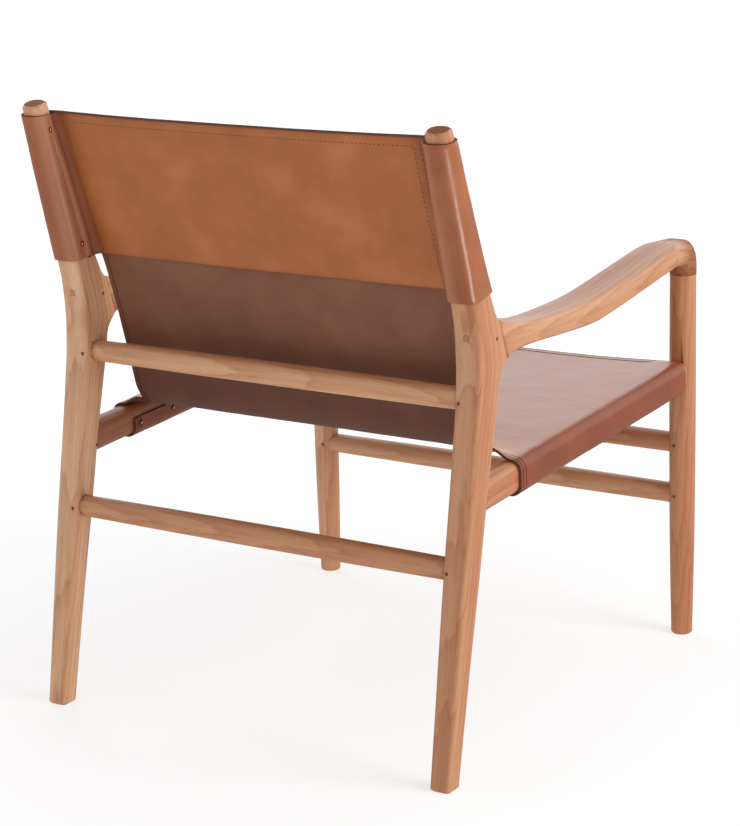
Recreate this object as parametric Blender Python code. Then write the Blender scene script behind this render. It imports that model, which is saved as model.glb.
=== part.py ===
"""A low lounge chair: a solid wood frame that carries one leather sheet as seat and back.

The chair faces -Y, the sitter's left is +X and the feet stand on z = 0. Lengths are in metres.
Each side frame is a bent rear post, a round front leg, a side rail and a sculpted arm.
"""
import math

import bmesh
import bpy
from mathutils import Matrix, Vector

# Whole chair
CHAIR_HEIGHT = 0.7645
SIDE_X = 0.2855
FOOT_SPAN = 0.612
FIT = 0.0003
OVERRUN = 0.004
EDGE_BREAK = 0.002
PEG_PROUD = 0.0002

# Rear post: a raked leg up to the knee, then a back that leans the other way
POST_WIDTH = 0.035
POST_DEPTH = 0.048
POST_EDGE = 0.011
KNEE_HEIGHT = 0.490
FOOT_SETBACK = 0.093
TOP_SETBACK = 0.0775
JOINT_REACH = 0.003
JOINT_LEAN_SHARE = 1.2
HAUNCH_FADE = 0.022
HAUNCH_TOP_FADE = 0.010
HAUNCH_EDGE = 0.0012

# Share of the height, then shares of setback, depth, width and edge radius
POST_LEG_SHARES = (
    (0.0, 1.0, 0.54, 0.77, 0.45),
    (0.16, 0.84, 0.59, 0.81, 0.45),
    (0.33, 0.67, 0.66, 0.87, 0.50),
    (0.51, 0.48, 0.75, 0.93, 0.55),
    (0.72, 0.26, 0.79, 0.97, 0.55),
    (0.90, 0.06, 0.92, 0.99, 0.50),
    (1.0, 0.0, 1.0, 1.0, 0.45),
)
POST_BACK_SHARES = (
    (0.0, 0.0, 1.0, 1.0, 0.45),
    (0.15, 0.065, 0.95, 1.0, 0.50),
    (0.27, 0.203, 0.835, 0.98, 0.55),
    (0.41, 0.364, 0.735, 0.97, 0.60),
    (0.63, 0.616, 0.635, 0.93, 0.75),
    (1.0, 1.0, 0.54, 0.86, 1.0),
)
POST_LEG_STEPS = 10
POST_HAUNCH_STEPS = 4

# Front leg: share of the height, share of the radius
LEG_RADIUS = 0.0176
LEG_SHARES = ((0.0, 0.80), (0.12, 0.87), (0.27, 0.945), (0.60, 1.0), (1.0, 0.985))
LEG_STEPS = 8
SPIGOT_RADIUS = 0.009
SPIGOT_LENGTH = 0.022

# Arm: share of the run, then rise, thickness, width and upper and lower edge radius as shares
ARM_TOP_HEIGHT = 0.542
ARM_DIP = 0.027
ARM_WIDTH = 0.054
ARM_EDGE = 0.010
KNUCKLE_DEPTH = 0.037
KNUCKLE_CREASE = 0.004
KNUCKLE_TAPER_POWER = 3
COLLAR_LENGTH = 0.0085
ARM_SHARES = (
    (0.0, 0.66, 1.30, 0.65, 0.12, 0.12),
    (0.033, 0.49, 1.10, 0.667, 0.40, 0.40),
    (0.07, 0.33, 0.92, 0.685, 0.55, 0.55),
    (0.12, 0.17, 0.79, 0.715, 0.55, 0.55),
    (0.20, 0.05, 0.73, 0.78, 0.55, 0.55),
    (0.34, 0.02, 0.78, 0.86, 0.55, 0.55),
    (0.44, 0.06, 0.84, 0.90, 0.60, 0.60),
    (0.52, 0.175, 0.82, 0.935, 0.60, 0.60),
    (0.645, 0.43, 0.785, 0.98, 0.60, 0.60),
    (0.775, 0.735, 0.77, 1.0, 0.65, 0.65),
    (0.865, 0.94, 0.78, 1.0, 0.70, 0.80),
    (0.90, 1.00, 0.81, 0.975, 0.75, 1.05),
    (0.935, 1.03, 0.87, 0.82, 0.80, 1.40),
    (1.0, 1.0, 1.0, 0.69, 1.0, 1.70),
)
ARM_FLARE_SHARES = (0.016, 0.036)
ARM_TAPER_SHARES = (0.90, 0.917, 0.955)
ARM_SQUARE_SHARE = 0.13
ARM_STEPS = 15
KNUCKLE_STEPS = 5

# Side rail: rises to the front
RAIL_WIDTH = 0.029
RAIL_DEPTH = 0.0383
RAIL_EDGE = 0.011
RAIL_REAR_TOP = 0.3495
RAIL_FRONT_TOP = 0.378

# Square tenons of rails and arms
TENON_WIDTH = 0.012
TENON_LENGTH = 0.020
TENON_EDGE = 0.001
RAIL_TENON_HEIGHT = 0.024
ARM_TENON_HEIGHT = 0.032

# Stretchers
STRETCHER_RADIUS = 0.0144
STRETCHER_END_SHARE = 0.93
STRETCHER_BARREL_SHARES = (0.97, 0.80, 0.45, 0.0)
PIN_TENON_RADIUS = 0.0075
REAR_UPPER_HEIGHT = 0.4428
REAR_LOWER_HEIGHT = 0.2501
FRONT_UPPER_HEIGHT = 0.264
FRONT_LOWER_HEIGHT = 0.194
SHOULDER_STEPS = 3

# Cross pegs, screws and plugs
PEG_RADIUS = 0.002
POST_PEG_INSET = 0.006
POST_PEG_LENGTH = 0.030
LEG_PEG_INSET = 0.013
LEG_PEG_LENGTH = 0.026
RAIL_PEG_INSET = 0.006
RAIL_PEG_DROP = 0.008
RAIL_PEG_LENGTH = 0.026
ARM_PEG_INSET = 0.015
ARM_PEG_RISE = 0.004
SCREW_RISE = 0.0105
PLUG_RADIUS = 0.0037
PLUG_LENGTH = 0.005
SCREW_HEAD_LENGTH = 0.004
SCREW_RADIUS = 0.0021
SCREW_REACH = 0.012

# Leather sheet: seat, bend and back in one piece
LEATHER = 0.003
FRONT_EDGE_CLEAR = 0.009
SEAT_SAG = 0.005
SEAT_SAG_REAR_SHARE = -0.4
BEND_RADIUS = 0.055
BEND_FORWARD = 0.055
WRAP_TURN = math.radians(38)
RAIL_FLAP = 0.023
FREE_EDGE_CLEAR = 0.0088
WAIST = 0.0127
BACK_BOW = 0.008
SLEEVE_RISE = 0.038
POST_SHOW = 0.0135
SLEEVE_FLAP_STOP = 0.0125
SLEEVE_LOW_CUT = 0.8
SLEEVE_HIGH_CUT = 0.5
SAG_POWER = 4
SHEET_SHARES = (0.0, 0.22, 0.44, 0.64, 0.82, 1.0)
SEAT_STEPS = 4
WRAP_STEPS = 2
BEND_STEPS = 3
LOWER_BACK_STEPS = 3
UPPER_BACK_STEPS = 4

# Facing panel sewn behind the upper back
PANEL = 0.002
PANEL_SIDE_GAP = 0.001

# Dome studs
STUD_RADIUS = 0.0035
STUD_HEIGHT = 0.0018
STUD_SHANK_RADIUS = 0.0011
STUD_SHANK_LENGTH = 0.010
STUD_DOME_SHARES = ((1.0, 0.30), (0.75, 0.78), (0.30, 1.0))
RAIL_STUD_COUNT = 7
RAIL_STUD_MARGIN = 0.012
RAIL_STUD_RISE = 0.015
SLEEVE_STUD_RISE = 0.012
SLEEVE_STUD_DROP = 0.021
SLEEVE_STUD_INSET = 0.011

CORNER_STEPS = 3
FULL_ROUND_SHARE = 0.97
ROUND_SIDES = 20
STRETCHER_SIDES = 16
PEG_SIDES = 8
SMOOTH_ANGLE = math.radians(35)
SIDES = (("left", 1), ("right", -1))

# Places that follow from the sizes
FOOT_DEPTH = POST_DEPTH * POST_LEG_SHARES[0][2]
CHAIR_DEPTH = LEG_RADIUS + FOOT_SPAN + FOOT_DEPTH / 2
FRONT_Y = LEG_RADIUS - CHAIR_DEPTH / 2
KNEE_Y = FRONT_Y + FOOT_SPAN - FOOT_SETBACK
JOINT_LEAN = JOINT_LEAN_SHARE * TOP_SETBACK / (CHAIR_HEIGHT - KNEE_HEIGHT)
JOINT_Y = KNEE_Y - POST_DEPTH / 2 - JOINT_REACH


def table_value(table, share, column):
    """Smooth value of one column of a table of shares, at a share of its length."""
    last = len(table) - 1
    share = min(max(share, table[0][0]), table[last][0])
    index = max(row for row in range(last) if table[row][0] <= share)

    def slope(row):
        before, after = table[max(row - 1, 0)], table[min(row + 1, last)]
        return (after[column] - before[column]) / (after[0] - before[0])

    start, end = table[index], table[index + 1]
    width = end[0] - start[0]
    t = (share - start[0]) / width
    return (
        start[column] * (1 + 2 * t) * (1 - t) ** 2
        + end[column] * t * t * (3 - 2 * t)
        + slope(index) * width * t * (1 - t) ** 2
        + slope(index + 1) * width * t * t * (t - 1)
    )


def arm_top(share):
    """Height of the arm's top face along its run."""
    return ARM_TOP_HEIGHT - ARM_DIP * (1 - table_value(ARM_SHARES, share, 1))


def arm_thickness(share):
    return KNUCKLE_DEPTH * table_value(ARM_SHARES, share, 2)


JOINT_TOP = arm_top(0.0)
JOINT_BOTTOM = JOINT_TOP - arm_thickness(0.0)
HAUNCH_TOP = JOINT_TOP + HAUNCH_TOP_FADE
COLLAR_TOP = ARM_TOP_HEIGHT - KNUCKLE_DEPTH - KNUCKLE_CREASE
COLLAR_BASE = COLLAR_TOP - COLLAR_LENGTH
LEG_TOP = COLLAR_BASE - FIT
COLLAR_RADIUS = LEG_RADIUS * LEG_SHARES[-1][1]


def arm_tenon_height():
    return (JOINT_TOP + JOINT_BOTTOM) / 2


def joint_y(height):
    """Y of the sloping face where an arm meets its post."""
    return JOINT_Y + JOINT_LEAN * (height - arm_tenon_height())


def haunch_share(height):
    """How far a post is drawn out to its arm: 1 beside the arm, 0 beyond the haunch."""
    beyond = max((height - JOINT_TOP) / HAUNCH_TOP_FADE, (JOINT_BOTTOM - height) / HAUNCH_FADE, 0.0)
    return max(1 - beyond, 0.0) ** 2


def post_section(height):
    """Front, rear, width and edge radius of a rear post at a height."""
    if height < KNEE_HEIGHT:
        share = height / KNEE_HEIGHT
        table, setback = POST_LEG_SHARES, FOOT_SETBACK
    else:
        share = (height - KNEE_HEIGHT) / (CHAIR_HEIGHT - KNEE_HEIGHT)
        table, setback = POST_BACK_SHARES, TOP_SETBACK
    middle = KNEE_Y + setback * table_value(table, share, 1)
    depth = POST_DEPTH * table_value(table, share, 2)
    width = POST_WIDTH * table_value(table, share, 3)
    edge = POST_EDGE * table_value(table, share, 4)
    front, rear = middle - depth / 2, middle + depth / 2
    front -= max(front - joint_y(height), 0.0) * haunch_share(height)
    return front, rear, width, edge


def post_front(height):
    return post_section(height)[0]


def post_rear(height):
    return post_section(height)[1]


def post_inner_x(height):
    return SIDE_X - post_section(height)[2] / 2


def leg_radius(height):
    return LEG_RADIUS * table_value(LEG_SHARES, height / LEG_TOP, 1)


RAIL_REAR_Y = post_front(RAIL_REAR_TOP - RAIL_DEPTH / 2)
RAIL_FRONT_Y = FRONT_Y + leg_radius(RAIL_FRONT_TOP - RAIL_DEPTH / 2) + FIT


def rail_top(y):
    share = (RAIL_REAR_Y - y) / (RAIL_REAR_Y - RAIL_FRONT_Y)
    return RAIL_REAR_TOP + (RAIL_FRONT_TOP - RAIL_REAR_TOP) * share


def rail_bottom(y):
    return rail_top(y) - RAIL_DEPTH


def rail_middle(y):
    return rail_top(y) - RAIL_DEPTH / 2


def rounded_outline(low, high, edge, low_edge=None):
    """Outline of a rectangle between two corners, as 2D points, its high and low corners rounded."""
    full = FULL_ROUND_SHARE * min(high[0] - low[0], high[1] - low[1]) / 2
    edge, low_edge = min(edge, full), min(edge if low_edge is None else low_edge, full)
    corners = (
        (high[0] - edge, high[1] - edge, edge, 0),
        (low[0] + edge, high[1] - edge, edge, 1),
        (low[0] + low_edge, low[1] + low_edge, low_edge, 2),
        (high[0] - low_edge, low[1] + low_edge, low_edge, 3),
    )
    points = []
    for across, up, radius, quarter in corners:
        for step in range(CORNER_STEPS + 1):
            turn = math.pi / 2 * (quarter + step / CORNER_STEPS)
            points.append((across + radius * math.cos(turn), up + radius * math.sin(turn)))
    return points


def square_drop(depth):
    """How far a cut square to the back falls over a depth from its front."""
    lean = TOP_SETBACK / (CHAIR_HEIGHT - KNEE_HEIGHT)
    return depth * lean / (1 + lean ** 2)


def arc(middle, radius, start, end):
    """Points of a corner after its first one, from one angle to another, as 2D points."""
    turns = [start + (end - start) * step / CORNER_STEPS for step in range(1, CORNER_STEPS + 1)]
    return [(middle[0] + radius * math.cos(a), middle[1] + radius * math.sin(a)) for a in turns]


def circle(radius, sides):
    turns = [2 * math.pi * side / sides for side in range(sides)]
    return [(radius * math.cos(turn), radius * math.sin(turn)) for turn in turns]


def make_material(name, colour, roughness, metallic=0.0):
    material = bpy.data.materials.new(name)
    material.use_nodes = True
    shader = material.node_tree.nodes["Principled BSDF"]
    shader.inputs["Base Color"].default_value = (*colour, 1.0)
    shader.inputs["Roughness"].default_value = roughness
    shader.inputs["Metallic"].default_value = metallic
    return material


def finish(shape, name, material, origin):
    """Turns a bmesh into a named object whose own origin is the given point."""
    bmesh.ops.recalc_face_normals(shape, faces=shape.faces)
    bmesh.ops.translate(shape, verts=shape.verts, vec=-Vector(origin))
    mesh = bpy.data.meshes.new(name)
    shape.to_mesh(mesh)
    shape.free()
    if material:
        mesh.materials.append(material)
    mesh.shade_smooth()
    mesh.set_sharp_from_angle(angle=SMOOTH_ANGLE)
    piece = bpy.data.objects.new(name, mesh)
    piece.location = origin
    piece.parent = chair
    bpy.context.scene.collection.objects.link(piece)
    return piece


def loft(name, rings, material, origin):
    """Solid through a row of rings with equal counts: a face extruded from ring to ring."""
    shape = bmesh.new()
    face = shape.faces.new([shape.verts.new(point) for point in rings[0]])
    for ring in rings[1:]:
        made = bmesh.ops.extrude_face_region(shape, geom=[face, *face.edges])
        face = next(item for item in made["geom"] if isinstance(item, bmesh.types.BMFace))
        for vert, point in zip(face.verts, ring):
            vert.co = point
    return finish(shape, name, material, origin)


def add_box(shape, low, high):
    low, high = Vector(low), Vector(high)
    size = Matrix.Diagonal((*(high - low), 1.0))
    bmesh.ops.create_cube(shape, size=1.0, matrix=Matrix.Translation((low + high) / 2) @ size)


def add_bore(shape, start, end, radius, sides=PEG_SIDES):
    """A closed cylinder between two points."""
    start, end = Vector(start), Vector(end)
    turn = (end - start).to_track_quat("Z", "Y").to_matrix().to_4x4()
    place = Matrix.Translation((start + end) / 2) @ turn
    bmesh.ops.create_cone(
        shape, cap_ends=True, segments=sides, radius1=radius, radius2=radius,
        depth=(end - start).length, matrix=place,
    )


def cut(piece, name, shape):
    """Subtracts a shape of boxes and bores from a piece."""
    tool = finish(shape, name, None, (0.0, 0.0, 0.0))
    tool.hide_render = True
    tool.display_type = "WIRE"
    modifier = piece.modifiers.new(name, "BOOLEAN")
    modifier.operation = "DIFFERENCE"
    modifier.solver = "EXACT"
    modifier.object = tool


def pin_ring(axis, centre, radius, sides, reach):
    """Ring round an X or Y axis; reach gives each point's place along that axis."""
    ring = []
    for across, up in circle(radius, sides):
        height = centre[2] + up
        if axis == "x":
            y = centre[1] + across
            ring.append((reach(y, height), y, height))
        else:
            x = centre[0] + across
            ring.append((x, reach(x, height), height))
    return ring


def level(place):
    """A flat end for a pin ring."""
    return lambda across, height: place


def post_outline(side, height, inset):
    front, rear, width, edge = post_section(height)
    low = (side * SIDE_X - width / 2 + inset, front + inset)
    high = (side * SIDE_X + width / 2 - inset, rear - inset)
    front_edge = edge + (HAUNCH_EDGE - edge) * haunch_share(height)
    return rounded_outline(low, high, edge, front_edge)


def post_ring(side, height, at_end, square):
    """Ring round a post, level or square to the back; height is that of its front."""
    inset = EDGE_BREAK if at_end else 0.0
    ring = []
    for index, (x, y) in enumerate(post_outline(side, height, inset)):
        if square:
            lower = height - square_drop(y - inset - post_front(height))
            ring.append((*post_outline(side, lower, inset)[index], lower))
        else:
            ring.append((x, y, height))
    return ring


def make_post(word, side):
    """Rear post with its mortises, peg holes, plug hole and stud holes."""
    leg_heights = [JOINT_BOTTOM * step / POST_LEG_STEPS for step in range(1, POST_LEG_STEPS)]
    haunch_heights = [
        JOINT_BOTTOM - HAUNCH_FADE * (1 - step / POST_HAUNCH_STEPS) for step in range(POST_HAUNCH_STEPS)
    ]
    leg_heights = [height for height in leg_heights if height < haunch_heights[0] - EDGE_BREAK]
    level_heights = [0.0, EDGE_BREAK, *leg_heights, *haunch_heights, JOINT_BOTTOM]
    level_heights += [arm_tenon_height(), JOINT_TOP, HAUNCH_TOP - HAUNCH_TOP_FADE / 2, HAUNCH_TOP]
    rings = [post_ring(side, height, height == 0.0, False) for height in level_heights]
    for height in (*upper_heights(), CHAIR_HEIGHT - EDGE_BREAK, CHAIR_HEIGHT):
        rings.append(post_ring(side, height, height == CHAIR_HEIGHT, True))
    post = loft(f"rear_post_{word}", rings, wood, (side * SIDE_X, KNEE_Y, 0.0))

    joints = bmesh.new()
    for height in (REAR_UPPER_HEIGHT, REAR_LOWER_HEIGHT):
        inner, y = post_inner_x(height), rear_stretcher_y(height)
        start = (side * (inner - OVERRUN), y, height)
        end = (side * (inner + TENON_LENGTH + FIT), y, height)
        add_bore(joints, start, end, PIN_TENON_RADIUS + FIT, STRETCHER_SIDES)
    add_mortise(joints, side, rail_middle(RAIL_REAR_Y), RAIL_TENON_HEIGHT, RAIL_REAR_Y, 1)
    slope = JOINT_LEAN * ARM_TENON_HEIGHT / 2
    add_mortise(joints, side, arm_tenon_height(), ARM_TENON_HEIGHT, JOINT_Y, 1, slope)
    cut(post, f"post_joints_{word}", joints)

    holes = bmesh.new()
    for height in (REAR_UPPER_HEIGHT, REAR_LOWER_HEIGHT):
        x, rear = side * post_peg_x(height), post_rear(height)
        deep = (x, rear - POST_PEG_LENGTH - FIT, height)
        add_bore(holes, (x, rear + OVERRUN, height), deep, PEG_RADIUS + FIT)
    x, y, height = rail_peg_place()
    start = (side * (x - OVERRUN), y, height)
    add_bore(holes, start, (side * (x + RAIL_PEG_LENGTH + FIT), y, height), PEG_RADIUS + FIT)
    reach = POST_WIDTH / 2 + OVERRUN
    y, height = arm_peg_place()
    ends = [(side * SIDE_X + way * reach, y, height) for way in (-1, 1)]
    add_bore(holes, *ends, PEG_RADIUS + FIT)
    for y, height in sleeve_stud_places():
        inner = post_inner_x(height)
        start = (side * (inner - OVERRUN), y, height)
        end = (side * (inner + STUD_SHANK_LENGTH), y, height)
        add_bore(holes, start, end, STUD_SHANK_RADIUS + FIT)
    cut(post, f"post_holes_{word}", holes)

    rear, seat = post_rear(screw_height()), screw_seat_y()
    counterbore = bmesh.new()
    mouth = (side * SIDE_X, rear + OVERRUN, screw_height())
    floor = (side * SIDE_X, seat - FIT, screw_height())
    add_bore(counterbore, mouth, floor, PLUG_RADIUS + FIT, STRETCHER_SIDES)
    cut(post, f"plug_hole_{word}", counterbore)
    clearance = bmesh.new()
    start = (side * SIDE_X, seat + FIT, screw_height())
    end = (side * SIDE_X, JOINT_Y + FIT, screw_height())
    add_bore(clearance, start, end, SCREW_RADIUS + FIT)
    cut(post, f"screw_hole_{word}", clearance)


def add_mortise(shape, side, height, tall, face_y, way, slope=0.0):
    """Square mortise that opens at a face and runs in along Y; slope is how far the face leans."""
    half = TENON_WIDTH / 2 + FIT
    near = face_y - way * (OVERRUN + slope)
    far = face_y + way * (TENON_LENGTH + 2 * FIT)
    low = (side * SIDE_X - half, min(near, far), height - tall / 2 - FIT)
    high = (side * SIDE_X + half, max(near, far), height + tall / 2 + FIT)
    add_box(shape, low, high)


def rear_stretcher_y(height):
    front, rear = post_section(height)[:2]
    return (front + rear) / 2


def post_peg_x(height):
    return post_inner_x(height) + POST_PEG_INSET


def rail_peg_place():
    """Where a rail's peg meets the post's inner face."""
    height = rail_middle(RAIL_REAR_Y) - RAIL_PEG_DROP
    return post_inner_x(height), RAIL_REAR_Y + RAIL_PEG_INSET, height


def arm_peg_place():
    return JOINT_Y + ARM_PEG_INSET, arm_tenon_height() + ARM_PEG_RISE


def screw_height():
    return arm_tenon_height() + SCREW_RISE


def screw_seat_y():
    """Where the front of the screw's head bears on the post."""
    return post_rear(screw_height()) - PLUG_LENGTH - SCREW_HEAD_LENGTH


def sleeve_stud_places():
    """Y and z of the two studs in a sleeve's flap, on the flat of the post's inner face."""
    places = []
    for height in (sleeve_bottom() + SLEEVE_STUD_RISE, sleeve_top() - SLEEVE_STUD_DROP):
        front, rear, width, edge = post_section(height)
        places.append((min(front + SLEEVE_FLAP_STOP + SLEEVE_STUD_INSET, rear - edge), height))
    return places


def sleeve_bottom():
    """Height of the sleeve's lower edge at its front."""
    return JOINT_TOP + SLEEVE_RISE


def sleeve_top():
    return CHAIR_HEIGHT - POST_SHOW


def make_leg(word, side):
    """Round front leg with a spigot on top for the arm."""
    x = side * SIDE_X
    body = [LEG_TOP * step / LEG_STEPS for step in range(1, LEG_STEPS + 1)]
    stations = [(0.0, leg_radius(0.0) - EDGE_BREAK), (EDGE_BREAK, leg_radius(0.0))]
    stations += [(height, leg_radius(height)) for height in body]
    stations += [(LEG_TOP, SPIGOT_RADIUS), (LEG_TOP + SPIGOT_LENGTH, SPIGOT_RADIUS)]
    rings = []
    for height, radius in stations:
        outline = circle(radius, ROUND_SIDES)
        rings.append([(x + across, FRONT_Y + along, height) for across, along in outline])
    leg = loft(f"front_leg_{word}", rings, wood, (x, FRONT_Y, 0.0))

    joints = bmesh.new()
    for height in (FRONT_UPPER_HEIGHT, FRONT_LOWER_HEIGHT):
        inner = SIDE_X - leg_radius(height)
        start = (side * (inner - OVERRUN), FRONT_Y, height)
        end = (side * (inner + TENON_LENGTH + FIT), FRONT_Y, height)
        add_bore(joints, start, end, PIN_TENON_RADIUS + FIT, STRETCHER_SIDES)
    add_mortise(joints, side, rail_middle(RAIL_FRONT_Y), RAIL_TENON_HEIGHT, RAIL_FRONT_Y, -1)
    cut(leg, f"leg_joints_{word}", joints)

    holes = bmesh.new()
    for height in (FRONT_UPPER_HEIGHT, FRONT_LOWER_HEIGHT):
        peg_x, rear = side * leg_peg_x(height), leg_rear_y(height)
        deep = (peg_x, rear - LEG_PEG_LENGTH - FIT, height)
        add_bore(holes, (peg_x, rear + OVERRUN, height), deep, PEG_RADIUS + FIT)
    cut(leg, f"leg_holes_{word}", holes)


def leg_peg_x(height):
    return SIDE_X - leg_radius(height) + LEG_PEG_INSET


def leg_surface_y(x, height):
    """Rear surface of a front leg at a distance from the chair's middle."""
    off_axis = min(abs(abs(x) - SIDE_X), leg_radius(height))
    return FRONT_Y + math.sqrt(leg_radius(height) ** 2 - off_axis ** 2)


def leg_rear_y(height):
    return leg_surface_y(leg_peg_x(height), height)


def leg_inner_x(y, height):
    off_axis = min(abs(y - FRONT_Y), leg_radius(height))
    return SIDE_X - math.sqrt(leg_radius(height) ** 2 - off_axis ** 2)


def lean_back(height, share):
    """Takes the joint's slope out of the arm's rings over the flare."""
    flare = min(share / ARM_SQUARE_SHARE, 1.0)
    return (JOINT_Y - joint_y(height)) * flare


def make_arm(word, side):
    """Arm: tenon, flared joint, flat paddle, and a knuckle that turns down to the leg."""
    x = side * SIDE_X
    pivot_y = FRONT_Y + COLLAR_RADIUS + KNUCKLE_CREASE
    run = JOINT_Y - FIT - pivot_y
    tenon_low = (x - TENON_WIDTH / 2, arm_tenon_height() - ARM_TENON_HEIGHT / 2)
    tenon_high = (x + TENON_WIDTH / 2, arm_tenon_height() + ARM_TENON_HEIGHT / 2)
    tenon = rounded_outline(tenon_low, tenon_high, TENON_EDGE)
    rings = [
        [(across, JOINT_Y + TENON_LENGTH, up) for across, up in tenon],
        [(across, joint_y(up) - FIT, up) for across, up in tenon],
    ]
    even_shares = [step / ARM_STEPS for step in range(ARM_STEPS + 1)]
    for share in sorted([*even_shares, *ARM_FLARE_SHARES, *ARM_TAPER_SHARES]):
        top, tall = arm_top(share), arm_thickness(share)
        half = ARM_WIDTH * table_value(ARM_SHARES, share, 3) / 2
        edge = ARM_EDGE * table_value(ARM_SHARES, share, 4)
        low_edge = ARM_EDGE * table_value(ARM_SHARES, share, 5)
        outline = rounded_outline((x - half, top - tall), (x + half, top), edge, low_edge)
        rings.append([
            (across, joint_y(up) - FIT - run * share + lean_back(up, share), up) for across, up in outline
        ])
    start_half = ARM_WIDTH * ARM_SHARES[-1][3] / 2
    start_edge = ARM_EDGE * ARM_SHARES[-1][4]
    start_low = ARM_EDGE * ARM_SHARES[-1][5]
    for step in range(1, KNUCKLE_STEPS + 1):
        share = step / KNUCKLE_STEPS
        turn = math.pi / 2 * share
        half = COLLAR_RADIUS + (start_half - COLLAR_RADIUS) * (1 - share) ** KNUCKLE_TAPER_POWER
        tall = KNUCKLE_DEPTH + (2 * COLLAR_RADIUS - KNUCKLE_DEPTH) * share
        edge = start_edge + (COLLAR_RADIUS - start_edge) * share
        low_edge = start_low + (COLLAR_RADIUS - start_low) * share
        low, high = (x - half, KNUCKLE_CREASE), (x + half, KNUCKLE_CREASE + tall)
        outline = rounded_outline(low, high, edge, low_edge)
        rings.append([
            (across, pivot_y - out * math.sin(turn), COLLAR_TOP + out * math.cos(turn))
            for across, out in outline
        ])
    rings.append([(across, y, COLLAR_BASE) for across, y, height in rings[-1]])
    arm = loft(f"arm_{word}", rings, wood, (x, FRONT_Y, COLLAR_BASE))

    socket = bmesh.new()
    start = (x, FRONT_Y, COLLAR_BASE - OVERRUN)
    end = (x, FRONT_Y, LEG_TOP + SPIGOT_LENGTH + 2 * FIT)
    add_bore(socket, start, end, SPIGOT_RADIUS + FIT, ROUND_SIDES)
    cut(arm, f"arm_socket_{word}", socket)
    holes = bmesh.new()
    y, height = arm_peg_place()
    reach = TENON_WIDTH / 2 + OVERRUN
    ends = [(x + way * reach, y, height) for way in (-1, 1)]
    add_bore(holes, *ends, PEG_RADIUS + FIT)
    start = (x, JOINT_Y + TENON_LENGTH + OVERRUN, screw_height())
    end = (x, JOINT_Y - SCREW_REACH - FIT, screw_height())
    add_bore(holes, start, end, SCREW_RADIUS + FIT)
    cut(arm, f"arm_holes_{word}", holes)


def make_rail(word, side):
    """Side rail with a square tenon at each end and pilot holes for the studs."""
    x = side * SIDE_X

    def tenon_ring(middle, seat):
        low = (x - TENON_WIDTH / 2, middle - RAIL_TENON_HEIGHT / 2)
        high = (x + TENON_WIDTH / 2, middle + RAIL_TENON_HEIGHT / 2)
        outline = rounded_outline(low, high, TENON_EDGE)
        return [(across, seat(across, up), up) for across, up in outline]

    def body_ring(y, seat):
        low = (x - RAIL_WIDTH / 2, rail_bottom(y))
        high = (x + RAIL_WIDTH / 2, rail_top(y))
        outline = rounded_outline(low, high, RAIL_EDGE)
        return [(across, seat(across, up), up) for across, up in outline]

    def post_seat(across, height):
        return post_front(height) - FIT

    rear_middle = rail_middle(RAIL_REAR_Y)
    front_middle = rail_middle(RAIL_FRONT_Y)
    rings = [
        tenon_ring(rear_middle, level(RAIL_REAR_Y + TENON_LENGTH)),
        tenon_ring(rear_middle, post_seat),
        body_ring(RAIL_REAR_Y, post_seat),
        body_ring(RAIL_FRONT_Y, level(RAIL_FRONT_Y)),
        tenon_ring(front_middle, level(RAIL_FRONT_Y)),
        tenon_ring(front_middle, level(RAIL_FRONT_Y - TENON_LENGTH)),
    ]
    rail = loft(f"side_rail_{word}", rings, wood, (x, RAIL_FRONT_Y, front_middle))

    holes = bmesh.new()
    inner = SIDE_X - RAIL_WIDTH / 2
    for y, height in rail_stud_places():
        start = (side * (inner - OVERRUN), y, height)
        end = (side * (inner + STUD_SHANK_LENGTH), y, height)
        add_bore(holes, start, end, STUD_SHANK_RADIUS + FIT)
    cut(rail, f"rail_pilots_{word}", holes)
    peg_hole = bmesh.new()
    peg_x, y, height = rail_peg_place()
    start = (side * (peg_x - OVERRUN), y, height)
    add_bore(peg_hole, start, (side * (peg_x + RAIL_PEG_LENGTH + FIT), y, height), PEG_RADIUS + FIT)
    cut(rail, f"rail_peg_hole_{word}", peg_hole)


def make_stretcher(name, y, height, seat, peg_x):
    """Round stretcher across the chair; seat gives the X of the face that it meets."""
    end_radius = STRETCHER_RADIUS * STRETCHER_END_SHARE
    centre = (0.0, y, height)
    tenon_reach = seat(y, height) + TENON_LENGTH

    def shoulder(radius, way):
        return pin_ring("x", centre, radius, STRETCHER_SIDES, lambda at, up: way * (seat(at, up) - FIT))

    half = [pin_ring("x", centre, PIN_TENON_RADIUS, STRETCHER_SIDES, level(tenon_reach))]
    for step in range(SHOULDER_STEPS + 1):
        radius = PIN_TENON_RADIUS + (end_radius - PIN_TENON_RADIUS) * step / SHOULDER_STEPS
        half.append(shoulder(radius, 1))
    for share in STRETCHER_BARREL_SHARES:
        radius = STRETCHER_RADIUS - (STRETCHER_RADIUS - end_radius) * share ** 2
        half.append(pin_ring("x", centre, radius, STRETCHER_SIDES, level(seat(y, height) * share)))
    other = [[(-x, across, up) for x, across, up in ring] for ring in reversed(half[:-1])]
    stretcher = loft(name, half + other, wood, centre)

    holes = bmesh.new()
    for way in (-1, 1):
        near = (way * peg_x, y + STRETCHER_RADIUS, height)
        far = (way * peg_x, y - STRETCHER_RADIUS, height)
        add_bore(holes, near, far, PEG_RADIUS + FIT)
    cut(stretcher, f"{name}_peg_holes", holes)


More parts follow.
